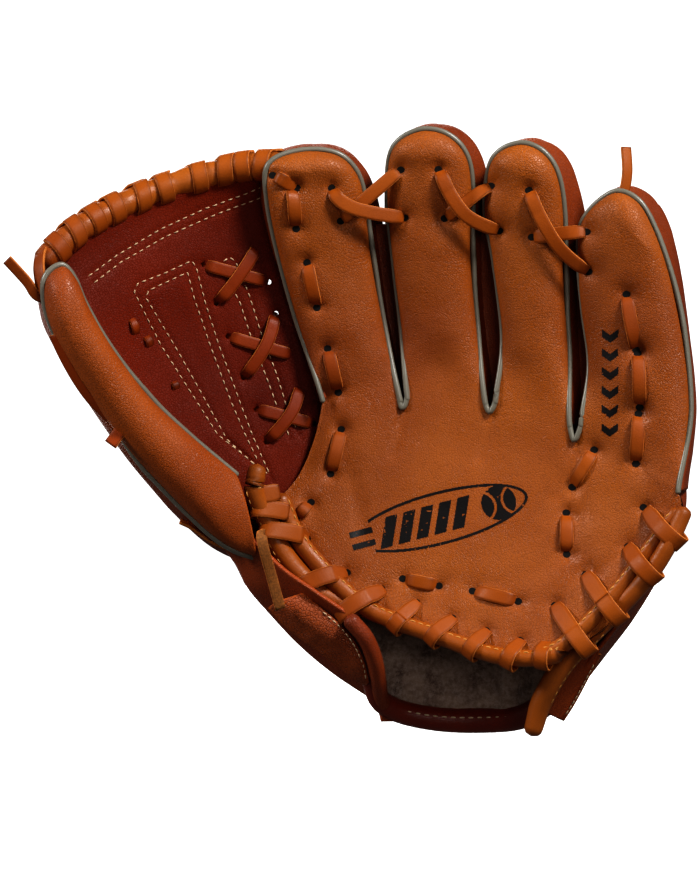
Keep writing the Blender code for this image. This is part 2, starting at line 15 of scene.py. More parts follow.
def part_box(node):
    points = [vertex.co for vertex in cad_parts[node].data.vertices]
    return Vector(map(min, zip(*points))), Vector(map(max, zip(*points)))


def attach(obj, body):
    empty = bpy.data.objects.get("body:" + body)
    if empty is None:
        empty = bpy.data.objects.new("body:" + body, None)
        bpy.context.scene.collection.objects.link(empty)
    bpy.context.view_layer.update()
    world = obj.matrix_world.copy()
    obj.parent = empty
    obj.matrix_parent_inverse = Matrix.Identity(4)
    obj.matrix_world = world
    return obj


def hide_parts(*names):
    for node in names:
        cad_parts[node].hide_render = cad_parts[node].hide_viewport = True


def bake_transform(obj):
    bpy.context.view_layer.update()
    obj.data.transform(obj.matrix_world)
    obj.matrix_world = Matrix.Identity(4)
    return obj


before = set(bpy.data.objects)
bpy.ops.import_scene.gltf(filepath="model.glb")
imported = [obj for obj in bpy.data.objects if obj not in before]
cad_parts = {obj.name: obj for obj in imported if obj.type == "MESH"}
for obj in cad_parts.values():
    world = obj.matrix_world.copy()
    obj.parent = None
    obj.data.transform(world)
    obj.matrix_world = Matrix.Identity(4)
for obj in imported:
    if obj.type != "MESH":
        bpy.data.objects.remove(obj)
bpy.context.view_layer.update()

MM = 0.001
SHIFT = np.array([-2.691, -12.594, -2.31])
UP, ACROSS = np.array([0, 0, 1.0]), np.array([1.0, 0, 0])
STEP = 1.5  # side of a leather quad

# ---------------------------------------------------------------- outline: the CAD's, drawn more closely
POCKET_X, POCKET_Z, POCKET_DEPTH = -15.0, 165.0, 26.0
BOWL_THUMB, BOWL_FINGERS, BOWL_UP, BOWL_DOWN = 0.011, 0.0016, 0.0012, 0.0016
HAND_GAP = 37.0  # front of the palm to the knuckles
WRIST_BACK_Y = 50.0
FRONT_LEATHER, BACK_LEATHER, WEB_LEATHER = 2.2, 2.0, 1.8
WEB_HOLE_R = 1.5
INDEX = [(-14, 176), (-24, 210), (-33, 245), (-38.5, 275), (-38, 293), (-24, 300), (-7, 298.5),
         (3, 289), (7, 274), (10.5, 245), (18, 206), (25.5, 176)]
MIDDLE = [(29.5, 177), (25.8, 210), (21.5, 245), (18.5, 275), (20.5, 300), (33, 309.5), (47, 308),
          (57, 298), (60.3, 281), (60, 247), (64, 206), (69, 174.5)]
RING = [(74.5, 175), (76.5, 205), (71.5, 245), (67, 272), (70.5, 295), (83, 302.5), (95, 298.5),
        (102.5, 287), (105.6, 268), (106, 238), (109, 195), (111.5, 163)]
LITTLE = [(117.5, 163), (119.5, 190), (115.5, 220), (113.5, 244), (115, 264), (129, 277.5), (141, 274),
          (149.5, 260), (157.5, 236), (164, 204), (167, 176), (166.3, 150), (164.5, 130)]
THUMB = [(-57, 137.5), (-80, 157), (-101, 177), (-119, 201), (-131, 222), (-137, 236), (-143.5, 242),
         (-151.5, 234), (-150, 214), (-136, 187), (-113, 153), (-92, 129), (-71, 108), (-58, 99), (-47, 95)]
HEEL = [(-35, 124), (-27, 105), (-17, 92), (-6, 80.5), (8.6, 69), (25, 62), (43, 56), (60, 50),
        (77.5, 45.5), (99, 45.5), (114, 52), (131, 65), (147, 87), (158, 104), (166, 119)]
CROTCHES = [(27, 172.5), (71.5, 170.5), (114, 156)]
WEB_RIGHT = [(-24, 34, 112), (-14, 36, 130), (-9, 37.5, 148), (-8, 38, 167), (-13, 37.5, 190), (-22, 35.5, 215),
             (-32, 31, 250), (-38, 24, 280), (-39, 19, 293)]
WEB_LEFT = [(-58, 25, 108), (-66, 20, 126), (-88, 14, 148), (-110, 7, 170), (-129, 0, 195), (-141, -5, 218),
            (-149, -5, 238), (-153.5, -7, 249)]
WEB_TOP = [(-154, -6, 247), (-140, 1, 260.5), (-123, 9, 271.5), (-99, 17, 283), (-73, 21, 291), (-55, 20, 295),
           (-38, 16, 296)]

# ---------------------------------------------------------------- laces and their holes, as (x, z)
FRONT_LACES = {
    "palm": [
        [(-39.5, 290), (-27, 283.5)],
        [(-30, 284), (-27.5, 263)],
        [(-22, 246), (-17, 223)],
        [(-11.5, 202), (-6, 179.5)],
        [(-4.5, 160.5), (-10, 137.5)],
        [(-20, 123), (-27.5, 115)],
        [(27, 84), (45.5, 80.5)],
        [(62.5, 78), (85.5, 73)],
        [(110, 118), (110, 97)],
    ],
    "little_finger": [
        [(124, 150), (113, 131)],
        [(139.4, 228.5), (141.5, 214), (144.5, 200.5)],
        [(145.2, 199), (146.4, 171.5)],
        [(145.8, 168.3), (144.5, 143)],
    ],
}
CROSSES = {
    "index_middle": ([(-4.8, 267), (25.9, 292.7)],
                     [(-9.3, 283.7), (-6.5, 278.5), (1.5, 273.5), (13, 270.6), (28, 268.5)]),
    "middle_ring": ([(48.2, 268), (71.7, 284.3)],
                    [(44.9, 292.6), (50.5, 281), (60.5, 269), (76, 261.5)]),
    "ring_little": ([(92.3, 258), (119.7, 260.3)],
                    [(90.6, 281.5), (96.2, 269.5), (107.4, 252.5), (120.8, 240.2)]),
}
WEB_CROSSES = [
    ([(-75, 245), (-43, 236.8)], [(-48.3, 254), (-57, 241), (-68.2, 226)]),
    ([(-62.3, 208.2), (-30, 199)], [(-38.8, 219.5), (-44, 204), (-54.5, 187.6)]),
    ([(-48, 170.8), (-19.2, 163.4)], [(-26, 182), (-31, 169), (-42.6, 154.6)]),
]
WEB_HOLES = [(-75.3, 245.2), (-42.0, 236.6), (-68.6, 225.4), (-62.8, 208.4), (-38.4, 220.3), (-54.9, 187.3),
             (-48.4, 170.8), (-18.4, 163.4), (-43.0, 154.0)]


# ---------------------------------------------------------------- curves, noise and surfaces
def smooth_path(points, count):
    """count points evenly spaced along a Catmull-Rom curve through the given ones."""
    points = np.array(points, float)
    ends = np.vstack([2 * points[0] - points[1], points, 2 * points[-1] - points[-2]])
    dense = []
    for a, b, c, d in zip(ends, ends[1:], ends[2:], ends[3:]):
        t = np.linspace(0, 1, 16, endpoint=False)[:, None]
        dense.append(0.5 * (2 * b + (c - a) * t + (2 * a - 5 * b + 4 * c - d) * t**2
                            + (3 * b - a - 3 * c + d) * t**3))
    dense = np.vstack([*dense, points[-1:]])
    along = np.r_[0, np.cumsum(np.linalg.norm(np.diff(dense, axis=0), axis=1))]
    wanted = np.linspace(0, along[-1], count)
    return np.stack([np.interp(wanted, along, column) for column in dense.T], axis=1)


def path_length(points):
    return float(np.linalg.norm(np.diff(smooth_path(points, 60), axis=0), axis=1).sum())


def evenly(points, step):
    return smooth_path(points, max(3, round(path_length(points) / step)))


def unit(vectors):
    return vectors / np.maximum(np.linalg.norm(vectors, axis=-1, keepdims=True), 1e-9)


def noise(x, z, size, seed):
    """Smooth random values between -1 and 1 over (x, z), size from one to the next."""
    table = np.random.default_rng(seed).uniform(-1, 1, (64, 64))
    u, v = np.asarray(x) / size, np.asarray(z) / size
    i, j = np.floor(u).astype(int), np.floor(v).astype(int)
    f, g = u - i, v - j
    f, g = f * f * (3 - 2 * f), g * g * (3 - 2 * g)
    low = table[i % 64, j % 64] * (1 - f) + table[(i + 1) % 64, j % 64] * f
    high = table[i % 64, (j + 1) % 64] * (1 - f) + table[(i + 1) % 64, (j + 1) % 64] * f
    return low * (1 - g) + high * g


def away_from_line(x, z, line):
    """The distance from each (x, z) to a polyline."""
    best = np.full(np.shape(x), 1e9)
    for (ax, az), (bx, bz) in zip(line, line[1:]):
        dx, dz = bx - ax, bz - az
        t = np.clip(((x - ax) * dx + (z - az) * dz) / (dx * dx + dz * dz), 0, 1)
        best = np.minimum(best, np.hypot(x - ax - t * dx, z - az - t * dz))
    return best


def pocket_y(x, z):
    across = np.where(x < POCKET_X, BOWL_THUMB, BOWL_FINGERS) * (x - POCKET_X) ** 2
    along = np.where(z > POCKET_Z, BOWL_UP, BOWL_DOWN) * (z - POCKET_Z) ** 2
    return POCKET_DEPTH - across - along


def thumb_y(x, z):
    return 8 + 0.30 * (x + 50) - 0.07 * (z - 115)


def hand_back_y(x, z):
    up = np.clip((z - 10) / 160, 0, 1)
    wrist = WRIST_BACK_Y - 0.006 * (x - 52) ** 2
    knuckles = pocket_y(np.maximum(x, POCKET_X), 170) + HAND_GAP + 1
    return wrist * (1 - up) + knuckles * up


def back_of(surface, x, z):
    """The unit normal of a front surface, pointing to the back of the hand."""
    slope_x = (surface(x + 1, z) - surface(x - 1, z)) / 2
    slope_z = (surface(x, z + 1) - surface(x, z - 1)) / 2
    return unit(np.stack([-slope_x, np.ones_like(slope_x), -slope_z], axis=-1))


def on_surface(surface, xz, depth=0.0):
    """Points of the surface over (x, z), carried depth towards the back."""
    xz = np.array(xz, float)
    x, z = xz[..., 0], xz[..., 1]
    depth = np.asarray(depth, float)[..., None]
    return np.stack([x, surface(x, z), z], axis=-1) + depth * back_of(surface, x, z)


def web_place(s, t):
    """The web's front at shares s from the thumb to the index finger and t up from the heel."""
    at = np.linspace(0, 1, 300)
    left, right = smooth_path(WEB_LEFT, 300), smooth_path(WEB_RIGHT, 300)
    s, t = np.asarray(s, float), np.asarray(t, float)
    a = np.stack([np.interp(t, at, left[:, k]) for k in range(3)], axis=-1)
    b = np.stack([np.interp(t, at, right[:, k]) for k in range(3)], axis=-1)
    sag = 4 * s * (1 - s) * (0.25 + 0.75 * np.clip(t, 0, 1))
    place = a * (1 - s[..., None]) + b * s[..., None]
    place[..., 1] += 8 * sag
    place[..., 2] += 9 * sag * t
    return place


# ---------------------------------------------------------------- materials
class Nodes:
    """Short calls for building one material's nodes."""

    def __init__(self, name):
        self.material = bpy.data.materials.new(name)
        self.material.use_nodes = True
        self.tree = self.material.node_tree
        self.shader = self.tree.nodes["Principled BSDF"]
        self.place = self.add("ShaderNodeTexCoord").outputs["Object"]

    def add(self, kind, inputs=None, **settings):
        node = self.tree.nodes.new(kind)
        for key, value in settings.items():
            setattr(node, key, value)
        for key, value in (inputs or {}).items():
            self.feed(node.inputs[key], value)
        return node

    def feed(self, socket, value):
        if isinstance(value, bpy.types.NodeSocket):
            self.tree.links.new(value, socket)
        else:
            socket.default_value = value

    def math(self, operation, a, b=0.0, clamp=False):
        return self.add("ShaderNodeMath", {0: a, 1: b}, operation=operation, use_clamp=clamp).outputs[0]

    def noise(self, scale, detail=3.0, roughness=0.5, where=None):
        inputs = {"Vector": where or self.place, "Scale": scale, "Detail": detail, "Roughness": roughness}
        return self.add("ShaderNodeTexNoise", inputs).outputs["Fac"]

    def cells(self, scale, feature="F1", where=None):
        inputs = {"Vector": where or self.place, "Scale": scale}
        return self.add("ShaderNodeTexVoronoi", inputs, feature=feature).outputs["Distance"]

    def ramp(self, value, low, high, out_low=0.0, out_high=1.0):
        node = self.add("ShaderNodeMapRange", {0: value, 1: low, 2: high, 3: out_low, 4: out_high},
                        interpolation_type="SMOOTHSTEP")
        return node.outputs[0]

    def mix(self, share, a, b, blend="MIX"):
        node = self.add("ShaderNodeMix", data_type="RGBA", blend_type=blend)
        self.feed(node.inputs[0], share)
        self.feed(node.inputs[6], a)
        self.feed(node.inputs[7], b)
        return node.outputs[2]

    def bump(self, height, strength, distance, under=None):
        node = self.add("ShaderNodeBump", {"Height": height, "Strength": strength, "Distance": distance})
        if under is not None:
            self.feed(node.inputs["Normal"], under)
        return node.outputs["Normal"]

    def finish(self, colour, roughness, normal=None, **inputs):
        self.feed(self.shader.inputs["Base Color"], colour)
        self.feed(self.shader.inputs["Roughness"], roughness)
        if normal is not None:
            self.feed(self.shader.inputs["Normal"], normal)
        for key, value in inputs.items():
            self.feed(self.shader.inputs[key.replace("_", " ")], value)
        return self.material


def shade(colour, by=1.0):
    """An sRGB colour out of 255 as linear RGBA, darkened or lightened."""
    linear = [(c / 255 / 12.92 if c < 10.3 else ((c / 255 + 0.055) / 1.055) ** 2.4) * by for c in colour]
    return (*np.minimum(linear, 0.95).tolist(), 1.0)


def leather(name, colour, dark, grain=1.0, gloss=0.41, wear=1.0, cell=780.0, shine=0.42):
    """Pebbled leather: cells of about a millimetre, mottled dye, painted shade in creases and hollows, and paler
    where rubbed.
    """
    n = Nodes(name)
    swirl = n.add("ShaderNodeTexNoise", {"Vector": n.place, "Scale": 240.0, "Detail": 2.0}).outputs["Color"]
    bent = n.add("ShaderNodeMix", {0: 0.0016}, data_type="VECTOR")
    n.feed(bent.inputs[4], n.place)
    n.feed(bent.inputs[5], swirl)
    where = bent.outputs[1]
    pebble = n.ramp(n.cells(cell, "DISTANCE_TO_EDGE", where), 0.0, 0.16)
    fine = n.noise(2600.0, 2.0)
    soft = n.noise(150.0, 3.0)
    mottle = n.noise(22.0, 4.0, 0.6)
    cloud = n.noise(7.5, 3.0, 0.55)
    base = n.mix(n.ramp(cloud, 0.35, 0.68), shade(dark), shade(colour))
    base = n.mix(n.ramp(mottle, 0.30, 0.72, 0.0, 0.35), base, shade(colour, 1.15))
    base = n.mix(n.math("MULTIPLY", n.ramp(pebble, 0.0, 1.0, 0.30, 0.0), grain), base, shade(dark, 0.45))
    # pointiness drives both the paler rubbed edges and the painted shade in hollows
    edge = n.add("ShaderNodeNewGeometry").outputs["Pointiness"]
    base = n.mix(n.math("MULTIPLY", n.ramp(edge, 0.52, 0.62), 0.45 * wear), base, shade(colour, 1.6))
    # painted shade: darker where the surface is hollow, standing in for shade in creases and between parts
    base = n.mix(n.ramp(edge, 0.485, 0.40, 0.0, 0.80), base, shade(dark, 0.25))
    height = n.math("ADD", n.math("MULTIPLY", pebble, 0.75), n.math("MULTIPLY", fine, 0.25))
    normal = n.bump(soft, 0.14, 0.0010)
    normal = n.bump(height, 0.50 * grain, 0.00040, normal)
    rough = n.ramp(n.noise(60.0, 3.0), 0.3, 0.7, gloss - 0.06, gloss + 0.10)
    rough = n.math("ADD", rough, n.math("MULTIPLY", n.ramp(pebble, 0.0, 1.0, 0.16, 0.0), grain))
    return n.finish(base, rough, normal, Specular_IOR_Level=shine)


def raw_edge(name, colour):
    """The cut side of a lace or a panel: paler, fibrous and matt."""
    n = Nodes(name)
    fibre = n.noise(900.0, 4.0, 0.7)
    base = n.mix(n.ramp(fibre, 0.3, 0.7), shade(colour, 0.55), shade(colour, 1.1))
    return n.finish(base, 0.8, n.bump(fibre, 0.5, 0.0003))


def plain(name, colour, roughness, bump_scale=600.0, strength=0.15, **inputs):
    n = Nodes(name)
    grain = n.noise(bump_scale, 3.0)
    base = n.mix(n.ramp(n.noise(40.0), 0.3, 0.7, 0.0, 0.35), shade(colour), shade(colour, 0.7))
    return n.finish(base, roughness, n.bump(grain, strength, 0.0003), **inputs)


def fleece():
    n = Nodes("fleece")
    curl = n.noise(420.0, 5.0, 0.75)
    clump = n.noise(70.0, 4.0, 0.6)
    base = n.mix(n.ramp(clump, 0.35, 0.65), shade((98, 72, 58)), shade((158, 132, 114)))
    base = n.mix(n.ramp(curl, 0.35, 0.7, 0.0, 0.7), base, shade((190, 164, 148)))
    normal = n.bump(n.math("ADD", curl, clump), 0.9, 0.0012)
    return n.finish(base, 0.95, normal, Sheen_Weight=0.5, Sheen_Roughness=0.5)


def woven(name, colour, scale):
    n = Nodes(name)
    wave = n.cells(scale)
    base = n.mix(wave, shade(colour, 0.5), shade(colour, 1.3))
    return n.finish(base, 0.9, n.bump(wave, 0.8, 0.0006), Sheen_Weight=0.3)


TAN, TAN_DARK = (168, 93, 24), (142, 70, 14)
LOOK = {
    "palm": leather("palm_leather", TAN, TAN_DARK),
    "back": leather("back_leather", (146, 66, 18), (116, 46, 10)),
    "thumb": leather("thumb_leather", (168, 86, 24), (142, 64, 14)),
    # web leather: partly its own darker dye, partly painted shade of the deep web
    "web": leather("web_leather", (120, 37, 8), (92, 24, 5), 1.0, 0.46, 0.3, 780.0, 0.16),
    "wall": leather("wall_leather", (160, 74, 22), (128, 50, 12), 1.1, 0.42),
    "flap": leather("flap_leather", (170, 86, 32), (130, 56, 18), 1.5, 0.40, 1.0, 620.0),
    "gusset": leather("gusset_leather", (168, 80, 26), (134, 56, 16), 0.8),
    "roll": leather("roll_leather", (168, 94, 26), (140, 68, 14), 0.35, 0.38),
    "band": leather("band_leather", (142, 52, 20), (108, 32, 12), 0.5, 0.36),
    "lace": leather("lace", (164, 88, 22), (138, 64, 11), 0.30, 0.46, 0.7, 780.0, 0.26),
    # web lace: darker than the other laces, partly painted shade of the web where it lies
    "web_lace": leather("web_lace", (150, 66, 14), (120, 44, 8), 0.30, 0.46, 0.7, 780.0, 0.22),
    "lace_edge": raw_edge("lace_edge", (196, 116, 44)),
    "suede": raw_edge("suede", (150, 94, 38)),
    "piping": plain("piping", (122, 117, 104), 0.36, 900.0, 0.10, Coat_Weight=0.2, Coat_Roughness=0.3),
    "thread": plain("thread", (214, 186, 150), 0.6, 3000.0, 0.5),
    "tan_thread": plain("tan_thread", (210, 152, 80), 0.6, 3000.0, 0.5),
    # hole: near-black, for discs that are painted shade inside the lace holes
    "hole": plain("hole", (14, 6, 3), 0.9),
    "ink": plain("ink", (18, 12, 10), 0.42, 1200.0, 0.35),
    "fleece": fleece(),
    "tape": woven("hook_and_loop", (34, 33, 34), 900.0),
}


def settle(piece, body):
    """Hangs a piece on one body; a piece named for two bodies is only baked in place."""
    if body == "palm+thumb":
        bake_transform(piece)
    elif body == "palm+little":
        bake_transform(piece)
    else:
        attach(piece, body)


def piece(name, points, faces, looks, body, slot, stands_for=(), normals=None, picks=None):
    """One named mesh. looks is a material's name, or several with picks giving each face's."""
    mesh = bpy.data.meshes.new(name)
    mesh.from_pydata(((np.asarray(points) + SHIFT) * MM).tolist(), [], [list(f) for f in faces])
    mesh.validate()
    mesh.shade_smooth()
    for look in [looks] if isinstance(looks, str) else looks:
        mesh.materials.append(LOOK[look])
    if picks is not None:
        mesh.polygons.foreach_set("material_index", np.asarray(picks, np.int32))
    if normals is not None:
        mesh.normals_split_custom_set_from_vertices(unit(np.asarray(normals)).tolist())
    made = bpy.data.objects.new(name, mesh)
    bpy.context.scene.collection.objects.link(made)
    settle(made, body)
    if stands_for:
        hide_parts(*stands_for)


def grid_faces(rows, columns, start=0, around=False):
    faces = []
    for r in range(rows - 1):
        for c in range(columns if around else columns - 1):
            d = (c + 1) % columns
            faces.append((start + r * columns + c, start + r * columns + d,
                          start + (r + 1) * columns + d, start + (r + 1) * columns + c))
    return faces


def weld(grids, toward=(0, -1, 0)):
    """Grids as one mesh that faces toward, with the points they share made one.

    Returns the points, the faces and each face's grid.
    """
    points, faces, owner = [], [], []
    for number, grid in enumerate(grids):
        rows, columns = grid.shape[:2]
        new = facing(grid.reshape(-1, 3), grid_faces(rows, columns), np.array(toward))
        faces += [[len(points) + i for i in face] for face in new]
        owner += [number] * len(new)
        points += grid.reshape(-1, 3).tolist()
    points = np.array(points)
    _, first, index = np.unique(np.round(points / 0.02).astype(np.int64), axis=0, return_index=True,
                                return_inverse=True)
    index = index.reshape(-1)
    kept, owners = [], []
    for face, number in zip(faces, owner):
        corners = list(dict.fromkeys(index[list(face)].tolist()))
        if len(corners) > 2:
            kept.append(corners)
            owners.append(number)
    return points[first], kept, owners


def normals_of(points, faces):
    normal = np.zeros_like(points)
    for face in faces:
        a, b, c = points[face[0]], points[face[1]], points[face[2]]
        d = points[face[-1]]
        turn = np.cross(b - a, c - a) + np.cross(c - a, d - a)
        for corner in face:
            normal[corner] += turn
    return unit(normal)


def shell(points, faces, thickness, normals=None, seam=()):
    """Closes an open sheet into one of even thickness, grown away from its normals, but open along seam."""
    normals = normals_of(points, faces) if normals is None else normals
    count = len(points)
    uses = {}
    for face in faces:
        for a, b in zip(face, [*face[1:], face[0]]):
            uses[(a, b)] = uses.get((a, b), 0) + 1
    rim = [(a, b) for a, b in uses if (b, a) not in uses and not (a in seam and b in seam)]
    closed = [list(f) for f in faces] + [[count + i for i in reversed(f)] for f in faces]
    closed += [[b, a, count + a, count + b] for a, b in rim]
    return np.vstack([points, points - normals * thickness]), closed, np.vstack([normals, -normals])


SKINS = {}


class Skin:
    """The front of a finished sheet, on which laces, stitches and ink are laid."""

    def __init__(self, points, faces):
        self.tree = BVHTree.FromPolygons(points.tolist(), [list(f) for f in faces])

    def at(self, xz):
        """Places and outward directions on the sheet at each (x, z). Where there is none they are bridged."""
        xz = np.array(xz, float)
        places, outs, found = np.zeros((len(xz), 3)), np.zeros((len(xz), 3)), np.zeros(len(xz), bool)
        for i, (x, z) in enumerate(xz):
            place, out, _, _ = self.tree.ray_cast(Vector((x, -150.0, z)), Vector((0, 1, 0)))
            if place is not None:
                places[i], outs[i], found[i] = place, out, True
        if not found.any():
            found[:] = True
            places = on_surface(pocket_y, xz)
            outs[:] = (0, -1, 0)
        order = np.arange(len(xz))
        for k in range(3):
            places[:, k] = np.interp(order, order[found], places[found, k])
            outs[:, k] = np.interp(order, order[found], outs[found, k])
        places[:, 0], places[:, 2] = xz[:, 0], xz[:, 1]
        outs *= -np.sign(outs[:, 1:2])
        return places, unit(outs)


def facing(points, faces, direction):
    """The faces turned so that most of them look along direction."""
    flat = sum(float(np.dot(np.cross(points[f[1]] - points[f[0]], points[f[2]] - points[f[0]]), direction))
               for f in faces)
    return faces if flat > 0 else [list(reversed(f)) for f in faces]


def sheet(name, grids, thickness, look, body, slot, stands_for=(), toward=(0, -1, 0)):
    points, faces, _ = weld(grids, toward)
    points, faces, _ = shell(points, faces, thickness)
    piece(name, points, faces, look, body, slot, stands_for)


def tube_mesh(path, radius, sides=12, wobble=0.0, seed=0):
    """A round tube with rounded ends, its radius one number or one for each point."""
    path = np.array(path, float)
    radius = np.broadcast_to(np.asarray(radius, float), len(path)).copy()
    along = unit(np.gradient(path, axis=0))
    side = unit(np.cross(along, np.array([0.13, 0.05, 0.99])))
    up = np.cross(side, along)
    angle = np.linspace(0, 2 * math.pi, sides, endpoint=False)
    rings, places = [], []
    for end, places_in in ((0, (1.0, 0.7, 0.35)), (-1, (0.35, 0.7, 1.0))):
        for share in places_in:
            push = -along[0] if end == 0 else along[-1]
            middle = path[end] + push * radius[end] * share * 0.9
            places.append((middle, radius[end] * math.sqrt(1.001 - share**2), side[end], up[end]))
    body = [(p, r, s, u) for p, r, s, u in zip(path, radius, side, up)]
    stations = places[:3] + body + places[3:]
    rng = np.random.default_rng(seed)
    for p, r, s, u in stations:
        swell = r * (1 + wobble * rng.uniform(-1, 1))
        rings.append(p + swell * (np.cos(angle)[:, None] * s + np.sin(angle)[:, None] * u))
    points = np.vstack(rings)
    faces = grid_faces(len(rings), sides, 0, True)
    faces += [list(range(sides))[::-1], [len(points) - sides + i for i in range(sides)]]
    return points, faces


def merged(parts):
    points, faces, picks = [], [], []
    for part in parts:
        start = sum(len(p) for p in points)
        points.append(np.asarray(part[0]))
        faces += [[start + i for i in face] for face in part[1]]
        picks += list(part[2]) if len(part) > 2 else [0] * len(part[1])
    return np.vstack(points), faces, picks


def lace_piece(name, parts, body, stands_for=(), look="lace"):
    """Laces as one piece, with paler cut sides."""
    points, faces, picks = merged(parts)
    piece(name, points, faces, (look, "lace_edge"), body, "lace", stands_for, picks=picks)


def stitch_piece(name, rows, body, look="thread"):
    points, faces, _ = merged(rows)
    piece(name, points, faces, look, body, "lace")


PROFILE = np.array([(-1, -0.35), (-0.93, -0.9), (-0.6, -1.0), (0, -1.04), (0.6, -1.0), (0.93, -0.9), (1, -0.35),
                    (1, 0.35), (0.93, 0.9), (0.6, 1.0), (0, 1.04), (-0.6, 1.0), (-0.93, 0.9), (-1, 0.35)])
PROFILE_EDGES = (5, 6, 7, 12, 13, 0)


def ribbon_mesh(path, normals, width=6.8, thickness=1.7):
    """A flat lace with rounded faces and cut sides. The second material is for the sides."""
    path = np.array(path, float)
    along = unit(np.gradient(path, axis=0))
    normals = np.array(normals, float) * np.ones_like(path)
    side = unit(np.cross(along, normals))
    up = np.cross(side, along)
    width = np.broadcast_to(np.asarray(width, float), len(path))
    rings = (path[:, None] + side[:, None] * PROFILE[None, :, :1] * width[:, None, None] / 2
             + up[:, None] * PROFILE[None, :, 1:] * thickness / 2)
    count = len(PROFILE)
    points = rings.reshape(-1, 3)
    faces = grid_faces(len(path), count, 0, True)
    picks = [1 if i % count in PROFILE_EDGES else 0 for i in range(len(faces))]
    faces += [list(range(count))[::-1], [len(points) - count + i for i in range(count)]]
    return points, faces, [*picks, 1, 1]


def hop_mesh(controls, skin, lift=0.7, arch=1.3, width=7.6, dive=3.4):
    """A lace that comes up out of one hole, lies along the leather and goes down into the next."""
    line = evenly(controls, 1.2)
    share = np.linspace(0, 1, len(line))[:, None]
    length = path_length(controls)
    places, outs = SKINS[skin].at(line)
    chord = places[:1] * (1 - share) + places[-1:] * share
    out = unit(unit(outs[:3].mean(0)) * (1 - share) + unit(outs[-3:].mean(0)) * share)
    near = np.minimum(share, 1 - share)[:, 0] * length
    rise = 1 - np.exp(-((near / 2.4) ** 2))
    path = places.copy()
    path[:, 1] = np.minimum(places[:, 1], chord[:, 1])
    height = (lift + arch * np.sin(math.pi * share[:, 0])) * rise - dive * (1 - rise)
    narrow = width * (0.58 + 0.42 * np.minimum(1, near / 5.5) ** 0.7)
    return ribbon_mesh(path + out * height[:, None], out, narrow, 1.35)


def longer(line, by=0.9):
    """A lace's controls carried on past both ends."""
    line = np.array(line, float)
    first, last = unit(line[0] - line[1]), unit(line[-1] - line[-2])
    return [tuple(line[0] + by * first), *map(tuple, line[1:-1]), tuple(line[-1] + by * last)]


def stitches_mesh(path, normals, pitch=3.3, length=2.2, radius=0.42, sink=0.15):
    """A row of thread stitches along a path on leather."""
    path = np.array(path, float)
    along = np.r_[0, np.cumsum(np.linalg.norm(np.diff(path, axis=0), axis=1))]
    normals = np.array(normals, float) * np.ones_like(path)
    count = max(1, int(along[-1] / pitch))
    parts = []
    for i in range(count):
        middle = (i + 0.5) * pitch
        spots = middle + np.linspace(-length / 2, length / 2, 5)
        at = np.stack([np.interp(spots, along, path[:, k]) for k in range(3)], axis=1)
        out = np.stack([np.interp(spots, along, normals[:, k]) for k in range(3)], axis=1)
        bow = np.array([-0.8, 0.35, 0.6, 0.35, -0.8]) * radius - sink
        parts.append(tube_mesh(at + out * bow[:, None], radius * np.array([0.6, 0.95, 1, 0.95, 0.6]), 6))
    return merged(parts)


def patch(left, right, rows, columns):
    """(x, z) pairs between two edges that run the same way."""
    a, b = smooth_path(left, rows), smooth_path(right, rows)
    s = np.linspace(0, 1, columns)[None, :, None]
    return a[:, None] * (1 - s) + b[:, None] * s


# ---------------------------------------------------------------- relief of the palm's leather
def lace_holes():
    found = []
    for group in FRONT_LACES.values():
        for line in group:
            found += [line[0], line[-1]]
    for under, over in CROSSES.values():
        found += [under[0], under[1], over[0], over[-1]]
    return found


HEEL_HOLES = [(-41.5, 127.5), (-22, 104.5), (-1.5, 87), (16, 79), (34, 72), (52.2, 64.3), (69.2, 58.2),
              (86.2, 53.5), (103.8, 71.2), (119, 86.9), (140.3, 101.2), (148.1, 121)]
DENTS = [((46, 193), 10, 1.2), ((84, 191), 10, 1.2), ((10, 150), 22, -0.8), ((60, 120), 30, -0.6),
         ((128, 150), 9, 0.8), ((20, 190), 8, 0.7)]
CREASES = [
    ([(27, 171), (26, 160), (22, 148)], 0.9, 3.0),
    ([(71.5, 169), (71, 158), (67, 146)], 0.9, 3.0),
    ([(114, 155), (112, 140), (105, 126)], 1.1, 3.5),
    ([(-10, 168), (-2, 150), (2, 128), (6, 108)], 0.7, 5.0),
    ([(118, 118), (100, 92), (80, 80), (50, 84)], 0.6, 5.0),
    ([(150, 118), (138, 100), (124, 86)], 0.7, 3.5),
]


LIP = [(-13, 177), (-18, 157), (-25, 139), (-35, 123)]


def palm_relief(x, z):
    """How far the palm's leather lies behind the plain pocket."""
    back = 0.75 * noise(x, z, 41, 1) + 0.32 * noise(x, z, 15, 2) + 0.08 * noise(x, z, 6, 3)
    for hx, hz in lace_holes() + HEEL_HOLES:
        away = (x - hx) ** 2 + (z - hz) ** 2
        back = back + 1.9 * np.exp(-away / 10) + 1.2 * np.exp(-away / 60)
    for (hx, hz), size, depth in DENTS:
        back = back + depth * np.exp(-((x - hx) ** 2 + (z - hz) ** 2) / size**2)
    for line, depth, width in CREASES:
        back = back + depth * np.exp(-((away_from_line(x, z, line) / width) ** 2))
    heel = away_from_line(x, z, HEEL)
    gather = np.sin((x + 0.7 * z) * 0.42) + 0.6 * np.sin((x - 0.3 * z) * 0.9)
    lip = away_from_line(x, z, LIP)
    return back + 0.35 * gather * np.exp(-heel / 9) + 5.0 * np.exp(-((lip / 5.5) ** 1.6))


